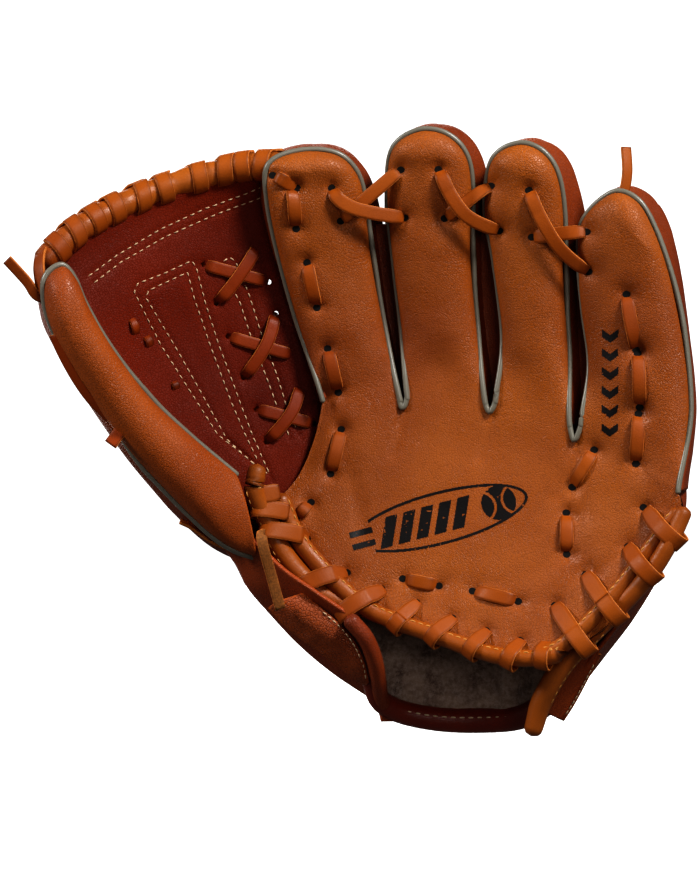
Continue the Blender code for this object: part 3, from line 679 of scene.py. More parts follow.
# ---------------------------------------------------------------- stalls
def stall_side(outline, surface, edge, crown, power=2.0, bulge=None, relief=None, rings=None, lean=0.0):
    """One side of a stall as a grid: rows run round the outline, columns from its edge in to the middle line.

    bulge swells the walls, from -1 at the left base over 0 at the tip to 1, and lean carries the back to +X.
    """
    count = round(path_length(outline) / STEP)
    count += count % 2
    rings = rings or round(24 / STEP)
    line = smooth_path(outline, count + 1)
    turn = 0.84
    way = 1 - np.abs(np.linspace(-1, 1, count + 1))
    u = np.minimum(way, turn) / 2
    at = np.linspace(0, 1, count + 1)
    left = np.stack([np.interp(u, at, line[:, k]) for k in (0, 1)], axis=1)
    right = np.stack([np.interp(1 - u, at, line[:, k]) for k in (0, 1)], axis=1)
    middle = (left + right) / 2
    rim = on_surface(surface, line, edge(way))
    top = on_surface(surface, middle, edge(way))
    normal = back_of(surface, middle[:, 0], middle[:, 1])
    rise = (crown(np.minimum(way, turn)) - edge(np.minimum(way, turn)))[:, None]
    spread = (bulge(np.linspace(-1, 1, count + 1)) if bulge else 0 * way)[:, None]
    rows = []
    for j in range(rings + 1):
        angle = j / rings * math.pi / 2
        inner = 1 - math.cos(angle) ** (2 / power)
        outer = math.sin(angle) ** (2 / power)
        swell = unit(rim - top) * spread * math.sin(2 * angle)
        aside = np.array([lean * math.sin(angle) ** 0.6, 0, 0]) * np.minimum(1, way * 4)[:, None]
        rows.append(rim + (top - rim) * inner + normal * rise * outer + swell + aside)
    grid = np.stack(rows, axis=1)
    if relief:
        grid = grid + normal[:, None] * relief(grid[..., 0], grid[..., 2])[..., None]
    return grid


def ramp(t, low, high, over=0.25):
    s = np.clip(t / over, 0, 1)
    return low + (high - low) * s * s * (3 - 2 * s)


def front_edge(t):
    return ramp(t, 0.0, 7.0, 0.3)


def front_crown(t):
    return ramp(t, 0.0, -3.0, 0.3)


FINGERS = {"index": INDEX, "middle": MIDDLE, "ring": RING, "little": LITTLE}


def palm_top(stalls):
    """The palm's upper edge along the stalls' bases and crotches, and each point's stall by number."""
    bases = [np.vstack([g[0], g[-1][-2::-1]]) for g in stalls]
    top, owners = [bases[0]], [0] * len(bases[0])
    for number, (base, (cx, cz)) in enumerate(zip(bases[1:], CROTCHES), 1):
        side = on_surface(pocket_y, [(cx - 1.2, cz + 1.5), (cx + 1.2, cz + 1.5)], 1.2)
        top += [side, base]
        owners += [number - 1] + [number] * (len(base) + 1)
    return np.vstack(top), owners


def palm_sheet(top):
    """The palm as a grid spanned between its upper edge, the heel, the lip by the web and its outer side."""
    line = top[:, [0, 2]]
    along = np.r_[0, np.cumsum(np.linalg.norm(np.diff(line, axis=0), axis=1))]
    u = along / along[-1]
    heel = smooth_path(HEEL, 400)
    foot = np.stack([np.interp(u, np.linspace(0, 1, 400), heel[:, k]) for k in (0, 1)], axis=1)
    rows = round(105 / STEP)
    v = np.linspace(0, 1, rows)[:, None, None]
    lip = smooth_path([tuple(line[0]), (-18, 156), (-25, 138), tuple(foot[0])], rows)[:, None]
    outside = smooth_path([tuple(line[-1]), tuple((line[-1] + foot[-1]) / 2 + (0.5, 0)), tuple(foot[-1])],
                          rows)[:, None]
    across = u[None, :, None]
    flat = ((1 - v) * line[None] + v * foot[None] + (1 - across) * lip + across * outside
            - (1 - across) * ((1 - v) * line[0] + v * foot[0]) - across * ((1 - v) * line[-1] + v * foot[-1]))
    under = 2.2 * np.exp(-away_from_line(flat[..., 0], flat[..., 1], HEEL) / 3.0)
    body = on_surface(pocket_y, flat, palm_relief(flat[..., 0], flat[..., 1]) + under)
    fade = np.clip(1 - v * 105 / 20, 0, 1)
    return body + (top - body[0])[None] * fade * fade * (3 - 2 * fade)


# name, the welded grids it takes, body, CAD nodes: grids 0 to 3 are the stalls, 4 and 5 the palm's two sides
PALM_PARTS = (
    ("palm_front_thumb_side", {0, 1, 4}, "palm+thumb",
     ("palm_leather", "palm_leather_thumb_side", "palm_felt_pad", "palm_lining", "thumb_heel_pad")),
    ("ring_finger_front", {2}, "palm", ()),
    ("little_finger_front", {3}, "little_finger", ("little_finger_stiffener",)),
    ("palm_front_little_side", {5}, "palm+little", ("palm_leather_little_side", "little_heel_pad")),
)


def make_palm_front():
    """The palm and the four fingers' fronts: one skin, parted where it folds or where a finger is stiff."""
    stalls = [stall_side(o, pocket_y, front_edge, front_crown, relief=palm_relief) for o in FINGERS.values()]
    top, owners = palm_top(stalls)
    body = palm_sheet(top)
    cut = owners.index(2)
    points, faces, owner = weld([*stalls, body[:, :cut + 1], body[:, cut:]])
    SKINS["palm"] = Skin(points, faces)
    normals = normals_of(points, faces)
    home = np.full(len(points), -1)
    seam = set()
    for group, (_, mine, _, _) in enumerate(PALM_PARTS):
        for face, number in zip(faces, owner):
            if number in mine:
                for corner in face:
                    if home[corner] not in (-1, group):
                        seam.add(corner)
                    home[corner] = group
    for name, mine, where, nodes in PALM_PARTS:
        chosen = [f for f, o in zip(faces, owner) if o in mine]
        used = np.unique(np.concatenate([np.array(f) for f in chosen]))
        renumber = {int(old): new for new, old in enumerate(used)}
        chosen = [[renumber[i] for i in f] for f in chosen]
        shared = {renumber[i] for i in seam if i in renumber}
        made = shell(points[used], chosen, FRONT_LEATHER, normals[used], shared)
        piece(name, made[0], made[1], "palm", where, "palm_leather", nodes, made[2])


def make_finger_backs():
    for name, outline in FINGERS.items():
        body = "little_finger" if name == "little" else "palm"
        finger = f"{name}_finger"
        widest = [-4.0, -3.0, 1.0, 2.5, 1.6] if name == "little" else [3.5, 9.5, 7.0, 2.5, 1.0]

        def spread(side):
            left = np.interp(1 - np.abs(side), [0, 0.5, 0.72, 0.9, 1], [5.0, 11.0, 9.0, 2.5, 1.0])
            right = np.interp(1 - np.abs(side), [0, 0.5, 0.72, 0.9, 1], widest)
            return np.where(side < 0, left, right)

        def seam(x, z):
            return 0.4 * noise(x, z, 17, 7) + 0.15 * noise(x, z, 7, 8)

        grid = stall_side(outline, pocket_y, lambda t: front_edge(t) + 3.2, lambda t: HAND_GAP - 9 * t, 3.5,
                          spread, seam, round(46 / STEP), lean=0.5 if name == "little" else 3.5)
        sheet(f"{finger}_back_leather", [grid], BACK_LEATHER, "back", body, "back_leather",
              (f"{finger}_back", f"{finger}_lining"), (0, 1, 0))


GUSSET_TOPS = {("index", "middle"): 262, ("middle", "ring"): 258, ("ring", "little"): 232}


def make_gussets():
    """The leather between neighbouring stalls, set well back, that closes the gap behind their fronts."""
    for (left, right), top in GUSSET_TOPS.items():
        a, b = smooth_path(FINGERS[left], 240), smooth_path(FINGERS[right], 240)
        foot = CROTCHES[list(FINGERS).index(left)][1] - 7
        rows = []
        for z in np.linspace(foot, top, round(90 / STEP)):
            near_a = a[np.abs(a[:, 1] - max(z, 180)) < 2.5, 0].max()
            near_b = b[np.abs(b[:, 1] - max(z, 180)) < 2.5, 0].min()
            across = np.linspace(near_a - 4.5, near_b + 4.5, 10)
            rows.append(np.stack([across, np.full(10, z)], axis=1))
        xz = np.array(rows)
        fold = np.sin(np.linspace(0, math.pi, 10))[None] * 3.0
        grid = on_surface(pocket_y, xz, 15.5 + fold + 0 * xz[..., 0])
        body = "palm+little" if right == "little" else "palm"
        sheet(f"{left}_{right}_gusset", [grid], 1.6, "gusset", body, "back_leather")


def piping_mesh(outline, surface, depth, radius=1.45):
    """Piping round a stall, standing out more on its right side."""
    line = smooth_path(outline, 160)
    way = 1 - np.abs(np.linspace(-1, 1, 160))
    out = unit(line - line.mean(0))
    line = line + out * (0.75 + 0.65 * out[:, :1])
    return tube_mesh(on_surface(surface, line, depth(way)), radius, 10, 0.02, 5)


def make_piping():
    """Grey piping round every stall, running through the crotches between them."""
    def depth(t):
        return front_edge(t) + ramp(t, 0.0, 1.2)

    parts = [piping_mesh(FINGERS[name], pocket_y, depth) for name in ("index", "middle", "ring")]
    piece("finger_piping", *merged(parts)[:2], "piping", "palm", "piping",
          ("index_finger_piping", "middle_finger_piping", "ring_finger_piping"))
    mesh = piping_mesh(LITTLE, pocket_y, depth)
    piece("little_finger_piping_run", *mesh, "piping", "little_finger", "piping", ("little_finger_piping",))
    parts = []
    outlines = [np.array(o, float) for o in FINGERS.values()]
    for left, right, (cx, cz) in zip(outlines, outlines[1:], CROTCHES):
        before, after = unit(left[-2] - left[-1]), unit(right[1] - right[0])
        arc = [left[-1] + 8 * before, left[-1] + 1.5 * before, (left[-1] + (cx, cz)) / 2 - (0.3, 0.8),
               (cx, cz - 1.2), (right[0] + (cx, cz)) / 2 + (0.3, -0.8), right[0] + 1.5 * after,
               right[0] + 8 * after]
        line = evenly([tuple(p) for p in arc], 1.0)
        way = np.abs(np.linspace(-1, 1, len(line)))
        depths = np.interp(way, [0, 0.4, 1], [0.0, 0.2, 1.3])
        parts.append(tube_mesh(on_surface(pocket_y, line, depths), 1.45, 10))
    piece("crotch_piping", *merged(parts)[:2], "piping", "palm+little", "piping")


def make_thumb():
    def dents(x, z):
        return 0.5 * noise(x, z, 33, 11) + 0.25 * noise(x, z, 12, 12)

    front = stall_side(THUMB, thumb_y, lambda t: 5.0 + 0 * t, lambda t: ramp(t, -3.0, -8.5), 2.1,
                       relief=dents)
    sheet("thumb_front", [front], FRONT_LEATHER, "thumb", "thumb", "palm_leather", ("thumb_front_leather",))

    def spread(side):
        right = np.interp(-side, [0, 0.15, 0.5, 0.8, 1], [0.5, 1.5, 2.5, 3, 1.5])
        left = np.interp(side, [0, 0.15, 0.45, 0.7, 1], [0.5, 2.0, 4.0, 8.5, 8.0])
        return np.where(side < 0, right, left)

    back = stall_side(THUMB, thumb_y, lambda t: 8.2 + 0 * t, lambda t: 37 - 9 * t, 3.2, spread, dents,
                      round(46 / STEP))
    sheet("thumb_back", [back], BACK_LEATHER, "back", "thumb", "back_leather",
          ("thumb_back_leather", "thumb_lining", "thumb_stiffener"), (0, 1, 0))
    line = smooth_path(THUMB, 240)
    out = unit(line - line.mean(0))
    share = np.linspace(0, 1, 240)
    tucked = np.interp(share, [0, 0.46, 0.52, 0.72, 0.78, 1], [0.9, 0.9, -2.0, -2.0, 1.0, 1.2])
    line = line + out * tucked[:, None]
    piece("thumb_piping_run", *tube_mesh(on_surface(thumb_y, line, 6.6), 1.6, 10, 0.02, 6), "piping",
          "thumb", "piping", ("thumb_piping",))


# ---------------------------------------------------------------- web
WEB_SEAMS = [
    [(-133.7, 238), (-119.2, 249.2), (-97, 263.1), (-74.6, 273.7), (-53.5, 281.5), (-43, 286)],
    [(-130.9, 234.6), (-117, 245.8), (-94.6, 259.2), (-69, 270.9), (-45, 279.9), (-40, 281.5)],
    [(-42, 137), (-68, 157.6), (-96.9, 203.4), (-110.3, 230.5), (-108.5, 235), (-95, 240.5), (-81.3, 247),
     (-79, 243.6), (-74.5, 225.7), (-67.8, 204.5), (-56.7, 174.4), (-50, 156.5), (-40, 134)],
    [(-46, 139), (-63.5, 155.5), (-86.8, 197.8), (-104.6, 228), (-103, 231.5), (-93, 236.5), (-83.5, 241),
     (-80.1, 228), (-72.3, 204.5), (-61.2, 174.4), (-54.5, 158.8), (-47, 143)],
    [(-65, 242), (-65, 247), (-62, 249), (-59, 247), (-52.2, 230.2), (-46.6, 212.3), (-38.3, 190),
     (-32.7, 172), (-26, 157)],
    [(-65, 242), (-56.7, 225.7), (-51, 207.8), (-43.3, 187.7), (-37.7, 172), (-31, 156)],
]


def make_web():
    """Two layers of dark leather with round lace holes, seen through at each end of the crossed laces. Their
    dark tone is partly the leather's own dye and partly painted shade of the deep web.
    """
    rows, columns = round(200 / STEP), round(125 / STEP)
    t, s = np.meshgrid(np.linspace(0, 1, rows), np.linspace(0, 1, columns), indexing="ij")
    grid = web_place(s, t)
    x, z = grid[..., 0], grid[..., 2]
    relief = 0.9 * noise(x, z, 34, 21) + 0.3 * noise(x, z, 12, 22)
    for hx, hz in WEB_HOLES:
        relief = relief + 0.9 * np.exp(-((x - hx) ** 2 + (z - hz) ** 2) / 14)
    for line in WEB_SEAMS:
        relief = relief + 0.7 * np.exp(-((away_from_line(x, z, line) / 1.5) ** 2))
    grid[..., 1] += relief
    for name, depth, node in (("web_front", 0.0, "web_front_leather"), ("web_back", 3.4, "web_back_leather")):
        layer = grid.copy()
        layer[..., 1] += depth
        points, faces, _ = weld([layer])
        SKINS.setdefault("web", Skin(points, faces))
        in_hole = np.zeros(len(points), bool)
        for hole in WEB_HOLES:
            aside = points[:, [0, 2]] - hole
            away = np.linalg.norm(aside, axis=1, keepdims=True)
            near = away[:, 0] < WEB_HOLE_R + 0.5
            points[near, 0::2] = np.array(hole) + (aside / np.maximum(away, 1e-6))[near] * WEB_HOLE_R
            in_hole |= near
        faces = [f for f in faces if not in_hole[list(f)].all()]
        points, faces, _ = shell(points, faces, WEB_LEATHER)
        piece(name, points, faces, "web", "palm+thumb", "web_leather", (node,))
    strip = smooth_path([(-99, 188), (-85, 214), (-76, 240), (-68, 264)], round(80 / STEP))
    across = np.linspace(-8.5, 8.5, 9)[:, None] * (0.98, -0.2)
    xz = strip[:, None] + across[None]
    places = SKINS["web"].at(xz.reshape(-1, 2))[0].reshape(*xz.shape[:2], 3)
    for _ in range(12):
        places[1:-1, 1:-1, 1] = (places[2:, 1:-1, 1] + places[:-2, 1:-1, 1] + places[1:-1, 2:, 1]
                                 + places[1:-1, :-2, 1]) / 4
    sheet("web_back_strip", [places + (0, 6.6, 0)], WEB_LEATHER, "web", "palm+thumb", "web_leather",
          ("web_centre_strip",), (0, 1, 0))
    rim = np.vstack([places[1:-1, 1], places[-2, 1:-1], places[-2:0:-1, -2], places[1, -2:0:-1]]) + (0, 6.9, 0)
    stitch_piece("web_strip_stitching", [stitches_mesh(rim, (0, 1, 0), 3.2, 2.1, 0.38, 0.0)], "palm+thumb")


def make_web_details():
    rows = []
    for line in WEB_SEAMS:
        dense = np.vstack([np.linspace(a, b, 6)[:-1] for a, b in zip(np.array(line), np.array(line[1:]))])
        places, outs = SKINS["web"].at(np.vstack([dense, line[-1]]))
        rows.append(stitches_mesh(places + outs * 0.1, outs, 4.2, 2.3, 0.36, 0.0))
    stitch_piece("web_stitching", rows, "palm+thumb")
    for number, (under, over) in enumerate(WEB_CROSSES, 1):
        parts = [hop_mesh(longer(under, 1.5), "web", 0.9, 0.5, 6.4, 5.0),
                 hop_mesh(longer(over, 1.5), "web", 1.4, 2.6, 6.6, 5.0)]
        lace_piece(f"web_cross_{number}", parts, "palm+thumb", (f"web_cross_lace_{number}",), "web_lace")
    parts = [hop_mesh(line, "web", 0.5, 0.9, 4.6, 4.0) for line in
             ([(-112, 219), (-108.5, 207)], [(-105, 210), (-101, 201)], [(-91, 187), (-88, 179)])]
    lace_piece("web_thumb_lacing", parts, "palm+thumb", look="web_lace")


TOP_TURNS = [-149, -140.5, -130.5, -120.5, -107, -95.7, -77.5, -63.5, -54.5, -44]


def make_web_top():
    """The folded leather along the web's top and the lace wound round it."""
    line = evenly(WEB_TOP, 1.5)
    share = np.linspace(0, 1, len(line))
    swell = 6.5 + 0.3 * np.sin(share * 70) + 0.2 * np.sin(share * 31)
    points, faces = tube_mesh(line, swell, 22, 0.01, 3)
    piece("web_top_binding", points, faces, "roll", "palm+thumb", "binding", ("web_top_roll",))
    along = unit(np.gradient(line, axis=0))
    spots = np.interp(TOP_TURNS, line[:, 0], np.arange(len(line)))
    parts = []
    for number, (here, next_spot) in enumerate(zip(spots, [*spots[1:], spots[-1] + 4])):
        turn = np.linspace(0, 1, 44)
        angle = 2 * math.pi * turn
        lean = (1.2, 2.2, 0.6)[number % 3]
        return_way = -lean / 1.5 * np.cos(2 * math.pi * (turn - 0.5))
        across = np.where(turn < 0.5, lean * (0.25 - turn) / 1.5 * 4, return_way)
        back = np.clip((turn - 0.5) / 0.5, 0, 1)
        at = here + across + (next_spot - here) * back * back * (3 - 2 * back)
        centre = np.stack([np.interp(at, np.arange(len(line)), line[:, k]) for k in range(3)], axis=1)
        axis = np.stack([np.interp(at, np.arange(len(line)), along[:, k]) for k in range(3)], axis=1)
        up = unit(np.array([0, 0, 1.0]) - (axis * [0, 0, 1.0]).sum(1, keepdims=True) * axis)
        front = np.cross(axis, up)
        front *= -np.sign(front[:, 1:2])
        out = np.cos(angle)[:, None] * up + np.sin(angle)[:, None] * front
        radius = 7.35 + 0.35 * np.sin(angle + number)[:, None]
        parts.append(ribbon_mesh(centre + out * radius, out, 8.0, 1.5))
    lace_piece("web_top_lacing", parts, "palm+thumb", ("web_top_lace",))


# ---------------------------------------------------------------- heel
EDGE_LEFT = [(1, 1.5, 62.5), (8, 4, 54), (12.5, 11, 43), (14.5, 21, 32), (15.5, 30, 24), (17, 36, 19)]
INNER_RIGHT = [(97, 46.5), (107, 51.5), (120, 63), (134, 79), (146.5, 95), (157, 110), (163, 118)]
FLAP_ROLL = [(93.5, 4, 8.2), (98, 1, 23), (107.5, -5, 40), (120, -12, 54.5), (135, -19, 70), (150, -26, 87),
             (160, -30, 103), (167, -31, 118)]
THUMB_WRAPS = [[(-37.5, 128), (-55, 125.5)], [(-32, 117), (-53, 120.5)], [(-22.2, 104.7), (-43, 108.5)],
               [(-2.7, 87.3), (-27, 79.5)], [(16.5, 78.5), (-8, 63.5)]]
HEEL_WRAPS = [[(34, 72), (20, 56.5)], [(52.2, 64.3), (38, 49.5)], [(69.2, 58.2), (57.5, 42.5)],
              [(86.2, 53.5), (77.5, 37.5)], [(99, 53.5), (96, 37)]]
LITTLE_WRAPS = [[(103.8, 71.2), (120, 48.5)], [(119, 86.9), (136, 64)], [(139.5, 101.2), (155.5, 82)],
                [(149, 119.5), (167, 101)]]


def outer_left_line():
    """The outer roll of the thumb side's double edge, a roll's width out from the inner one."""
    inner = smooth_path(HEEL, 200)
    inner = inner[inner[:, 0] < 5]
    along = unit(np.gradient(inner, axis=0))
    apart = np.interp(np.linspace(0, 1, len(inner)), [0, 0.12, 0.5, 0.75, 1], [6.0, 9.8, 9.8, 8.6, 3.0])
    outer = inner + np.stack([along[:, 1], -along[:, 0]], axis=1) * apart[:, None]
    return np.vstack([[(-49.5, 138.5), (-49.8, 133.5), (-49.5, 128.0)], outer[6:]])


def wrap_mesh(route, line, thick, half_depth=5.6, depth=0.4, width=7.8):
    """One turn of the heel's lace: out of its hole, over the rolls, round their outer side and in behind.

    line is the middle of the rolls and thick their half width, which give the turn its size.
    """
    route = np.array(route, float)
    bent = np.linspace(route[0], route[1] + 6 * unit(route[1] - route[0]), 80)
    run = np.r_[0, np.cumsum(np.linalg.norm(np.diff(bent, axis=0), axis=1))]
    heading = unit(bent[1] - bent[0])
    away = np.linalg.norm(bent[:, None] - line[None], axis=2)
    at, beside = np.unravel_index(np.argmin(away), away.shape)
    outward = unit(bent[min(at + 3, 79)] - bent[max(at - 3, 0)])
    axis = unit(line[min(beside + 2, len(line) - 1)] - line[max(beside - 2, 0)])
    crossing = max(0.55, abs(outward[0] * axis[1] - outward[1] * axis[0]))
    half_width = thick / crossing + 0.7
    middle = run[at]
    angle = np.radians(np.linspace(128, -86, 34))
    offset = np.r_[-1.6, 0.1, middle + half_width * np.cos(angle)]
    back = np.r_[4.6, 1.0, depth - half_depth * np.sin(angle)]
    tilt = np.r_[-55, -20, 90 - np.degrees(angle)]
    keep = np.r_[True, True, offset[2:] > 1.6]
    controls = np.stack([offset, back, tilt * 0.05], axis=1)[keep]
    controls = smooth_path(controls, 46) / [1, 1, 0.05]
    spot = np.clip(controls[:, 0], 0, run[-1])
    xz = np.stack([np.interp(spot, run, bent[:, k]) for k in (0, 1)], axis=1)
    xz = xz + np.minimum(controls[:, :1], 0) * heading
    normal = back_of(pocket_y, xz[:, 0], xz[:, 1])
    path = on_surface(pocket_y, xz, controls[:, 1])
    out = np.stack([outward[0], 0.0, outward[1]])[None]
    lean = np.radians(controls[:, 2:3])
    widths = width * (0.66 + 0.34 * np.clip((controls[:, 0] + 1.6) / 6, 0, 1))
    return ribbon_mesh(path, -normal * np.cos(lean) + out * np.sin(lean), widths, 1.3)


def heel_tube(points, radius, depth, name, body, stands_for):
    line = evenly(points, 1.4)
    path = on_surface(pocket_y, line, depth) if line.shape[1] == 2 else line
    share = np.linspace(0, 1, len(path))
    size = np.interp(share, np.linspace(0, 1, len(radius)), radius)
    size = size * (1 + 0.03 * np.sin(share * 55))
    mesh = tube_mesh(path, size, 20, 0.006, 9)
    piece(name, *mesh, "roll", body, "binding", stands_for)
    return path, size


def make_heel_rolls():
    """The rolled edges below the palm. Returns each stitched roll's middle line and radius."""
    heel = smooth_path(HEEL, 200)
    left = heel_tube(heel[:112], [4.6, 4.8, 4.5, 4.3], 0.2, "heel_roll_left", "palm+thumb",
                     ("heel_roll_thumb", "heel_roll_centre"))
    right_line = np.vstack([heel[111:130], smooth_path([tuple(heel[129]), *INNER_RIGHT], 90)[1:]])
    right = heel_tube(right_line, [4.3, 4.2, 3.9, 3.7], 0.2, "heel_roll_right", "palm+little",
                      ("heel_roll_little",))
    line = smooth_path(outer_left_line(), 120)
    share = np.linspace(0, 1, 120)
    outer = on_surface(pocket_y, line, np.interp(share, [0, 0.25, 0.6, 1], [-3.0, 0.5, 1.5, 3.0]))
    mesh = tube_mesh(outer, np.interp(share, [0, 0.2, 0.6, 1], [4.8, 5.4, 5.4, 4.4]), 20, 0.006, 4)
    piece("outer_roll_left", *mesh, "roll", "palm+thumb", "binding", ("thumb_edge_roll",))
    edge = smooth_path(EDGE_LEFT, 60)
    mesh = tube_mesh(edge, np.linspace(4.4, 4.0, 60), 20, 0.006, 5)
    piece("opening_edge_left", *mesh, "wall", "palm+thumb", "binding")
    flap = smooth_path(FLAP_ROLL, 130)
    size = np.interp(np.linspace(0, 1, 130), [0, 0.1, 0.25, 0.5, 0.85, 1], [4.8, 5.6, 5.6, 4.9, 4.5, 4.2])
    mesh = tube_mesh(flap, size, 22, 0.006, 8)
    piece("flap_roll", *mesh, "roll", "palm+little", "binding", ("little_edge_roll",))
    return left, right, outer, (flap, size)


def make_heel_lacing():
    """The lace wound over the rolls, wide where it takes in the double edge on either side."""
    heel = smooth_path(HEEL, 200)
    left_band = (smooth_path(HEEL[:5], 80) + smooth_path(outer_left_line()[3:], 80)) / 2
    right_band = (smooth_path(INNER_RIGHT, 80) + smooth_path([(x, z) for x, _, z in FLAP_ROLL[2:]], 80)) / 2
    turns = [wrap_mesh(route, left_band, 9.8, 6.6, 0.0, 9.0) for route in THUMB_WRAPS]
    turns += [wrap_mesh(route, heel, 4.5) for route in HEEL_WRAPS[:2]]
    lace_piece("heel_lacing_left", turns, "palm+thumb", ("heel_lace_centre",))
    turns = [wrap_mesh(route, heel, 4.5) for route in HEEL_WRAPS[2:]]
    turns += [wrap_mesh(route, right_band, 7.6, 6.0, 0.4, 9.0) for route in LITTLE_WRAPS]
    lace_piece("heel_lacing_right", turns, "palm+little", ("heel_lace_little",))


def roll_side(path, toward, aside, front):
    """Outward directions on a roll, leaning from the front towards one side of it."""
    away = np.cross(unit(np.gradient(path, axis=0)), (0, -1, 0))
    away = unit(away * np.sign((away * toward).sum(1, keepdims=True)))
    return unit(away * aside + np.array([0, -1, 0]) * front)


def make_heel_stitching(left, right, outer, flap):
    for name, (path, radius), body in (("heel_stitching_left", left, "palm+thumb"),
                                       ("heel_stitching_right", right, "palm+little")):
        out = roll_side(path, UP, 0.72, 0.70)
        rows = [stitches_mesh(path + out * radius[:, None], out, 4.2, 3.0, 0.36, 0.0)]
        stitch_piece(name, rows, body, "tan_thread")
    out = roll_side(outer, -UP, 0.72, 0.70)
    rows = [stitches_mesh((outer + out * 5.35)[8:-6], out[8:-6], 4.4, 3.0, 0.34, 0.0)]
    stitch_piece("outer_roll_stitching", rows, "palm+thumb", "tan_thread")
    path, size = flap
    out = roll_side(path, ACROSS, 0.80, 0.60)
    rows = [stitches_mesh((path + out * size[:, None])[14:62], out[14:62], 4.4, 3.0, 0.34, 0.0)]
    stitch_piece("flap_roll_stitching", rows, "palm+little", "tan_thread")


# ---------------------------------------------------------------- laces on the front
def make_front_laces():
    nodes = {"palm": ("index_side_lace", "palm_lace"), "little_finger": ("little_side_lace",)}
    for body, lines in FRONT_LACES.items():
        parts = [hop_mesh(longer(line), "palm", 0.2, 1.2, 7.0) for line in lines]
        where = "palm+little" if body == "little_finger" else "palm+thumb"
        lace_piece(f"{body}_running_laces", parts, where, nodes[body])
    for name, (under, over) in CROSSES.items():
        parts = [hop_mesh(longer(under), "palm", 0.7, 0.9, 7.2),
                 hop_mesh(longer(over), "palm", 1.3, 2.6, 7.2)]
        where = "palm+little" if name == "ring_little" else "palm"
        lace_piece(f"{name}_crossed_lace", parts, where, (f"{name}_lace",))
    # Near-black discs over each lace hole: painted shade of the holes' insides
    for name, holes, where in (
            ("lace_hole_shade_left", [h for h in lace_holes() + HEEL_HOLES if h[0] < 72], "palm+thumb"),
            ("lace_hole_shade_right", [h for h in lace_holes() + HEEL_HOLES if h[0] >= 72], "palm+little")):
        parts = []
        for hx, hz in holes:
            angle = np.linspace(0, 2 * math.pi, 14, endpoint=False)
            ring = np.stack([hx + 2.0 * np.cos(angle), hz + 1.8 * np.sin(angle)], axis=1)
            places, outs = SKINS["palm"].at(np.vstack([ring, [(hx, hz)]]))
            lift = np.r_[np.full(14, 0.10), 0.35]
            parts.append((places + outs * lift[:, None], [[i, (i + 1) % 14, 14] for i in range(14)]))
        points, faces, _ = merged(parts)
        piece(name, points, faces, "hole", where, "lace")


def free_lace(name, path, normals, body, node, look="lace", width=5.6):
    """A lace's loose end, through its path's points."""
    mesh = ribbon_mesh(smooth_path(path, 26), normals, width, 1.7)
    lace_piece(name, [mesh], body, (node,) if node else (), look)


def make_lace_ends():
    free_lace("heel_lace_tail", [(-44, 1, 107), (-45, -5.5, 106.5), (-43.5, -5.5, 99), (-40, 0, 86),
                                 (-35.5, 5, 69)], (0.2, -1, 0), "thumb", "heel_lace_end", "suede")
    free_lace("thumb_tip_wrap", [(-150, 4, 256), (-156, -8, 251), (-157, -16, 243), (-156, -19, 234),
                                 (-157, -18, 229)], (-0.7, -0.7, 0.3), "thumb", None, width=7.5)
    free_lace("web_lace_tail", [(-150, -16, 226), (-158, -18, 228), (-163, -18, 235), (-173, -18, 246)],
              (-0.6, -0.8, 0.1), "thumb", "web_lace_end")
    free_lace("little_finger_tail", [(134, -12, 271), (138, -15, 279), (140, -15, 290), (139.5, -13, 303)],
              (0.4, -1, 0), "little_finger", "little_lace_end")
    free_lace("thumb_back_tail", [(-58, 20, 98), (-70, 18, 103), (-80, 16, 110), (-87, 15, 113.5)],
              (0.2, -0.5, 1.0), "thumb", None, width=4.4)
    parts = []
    for line in ([(-147, 208), (-140, 196), (-128, 177), (-118, 165)],
                 [(-111, 160), (-103, 149), (-93, 136), (-82, 123.5)]):
        path = on_surface(thumb_y, evenly(line, 1.6), 4.5)
        away = unit(np.array([-0.83, 0.0, -0.56]))
        bow = np.sin(np.linspace(0, math.pi, len(path)))[:, None]
        path = path + away * (0.6 + 1.8 * bow)
        parts.append(ribbon_mesh(path, away * 0.8 + np.array([0, -0.8, 0]), 7.0, 1.8))
    knot = on_surface(thumb_y, [(-110, 164), (-115, 159.5), (-120, 153)], 2.0) + np.array([-0.5, -1, -0.5])
    parts.append(ribbon_mesh(smooth_path(knot, 14), (-0.5, -0.8, -0.3), 7.0, 1.8))
    lace_piece("thumb_outside_lacing", parts, "thumb", ("thumb_side_lace",), "web_lace")


# ---------------------------------------------------------------- wrist
def loft(curves, rows, columns):
    """A grid over curves that run the same way, smoothed across them."""
    lines = [smooth_path(c, rows) for c in curves]
    return np.stack([smooth_path(np.array([line[i] for line in lines]), columns) for i in range(rows)])


def crinkle(grid, amount, size, seed, along=(0, 1, 0)):
    x, z = grid[..., 0] + 0.6 * grid[..., 1], grid[..., 2]
    bump = amount * noise(x, z, size, seed) + 0.4 * amount * noise(x, z, size / 2.7, seed + 1)
    return grid + np.array(along, float) * bump[..., None]


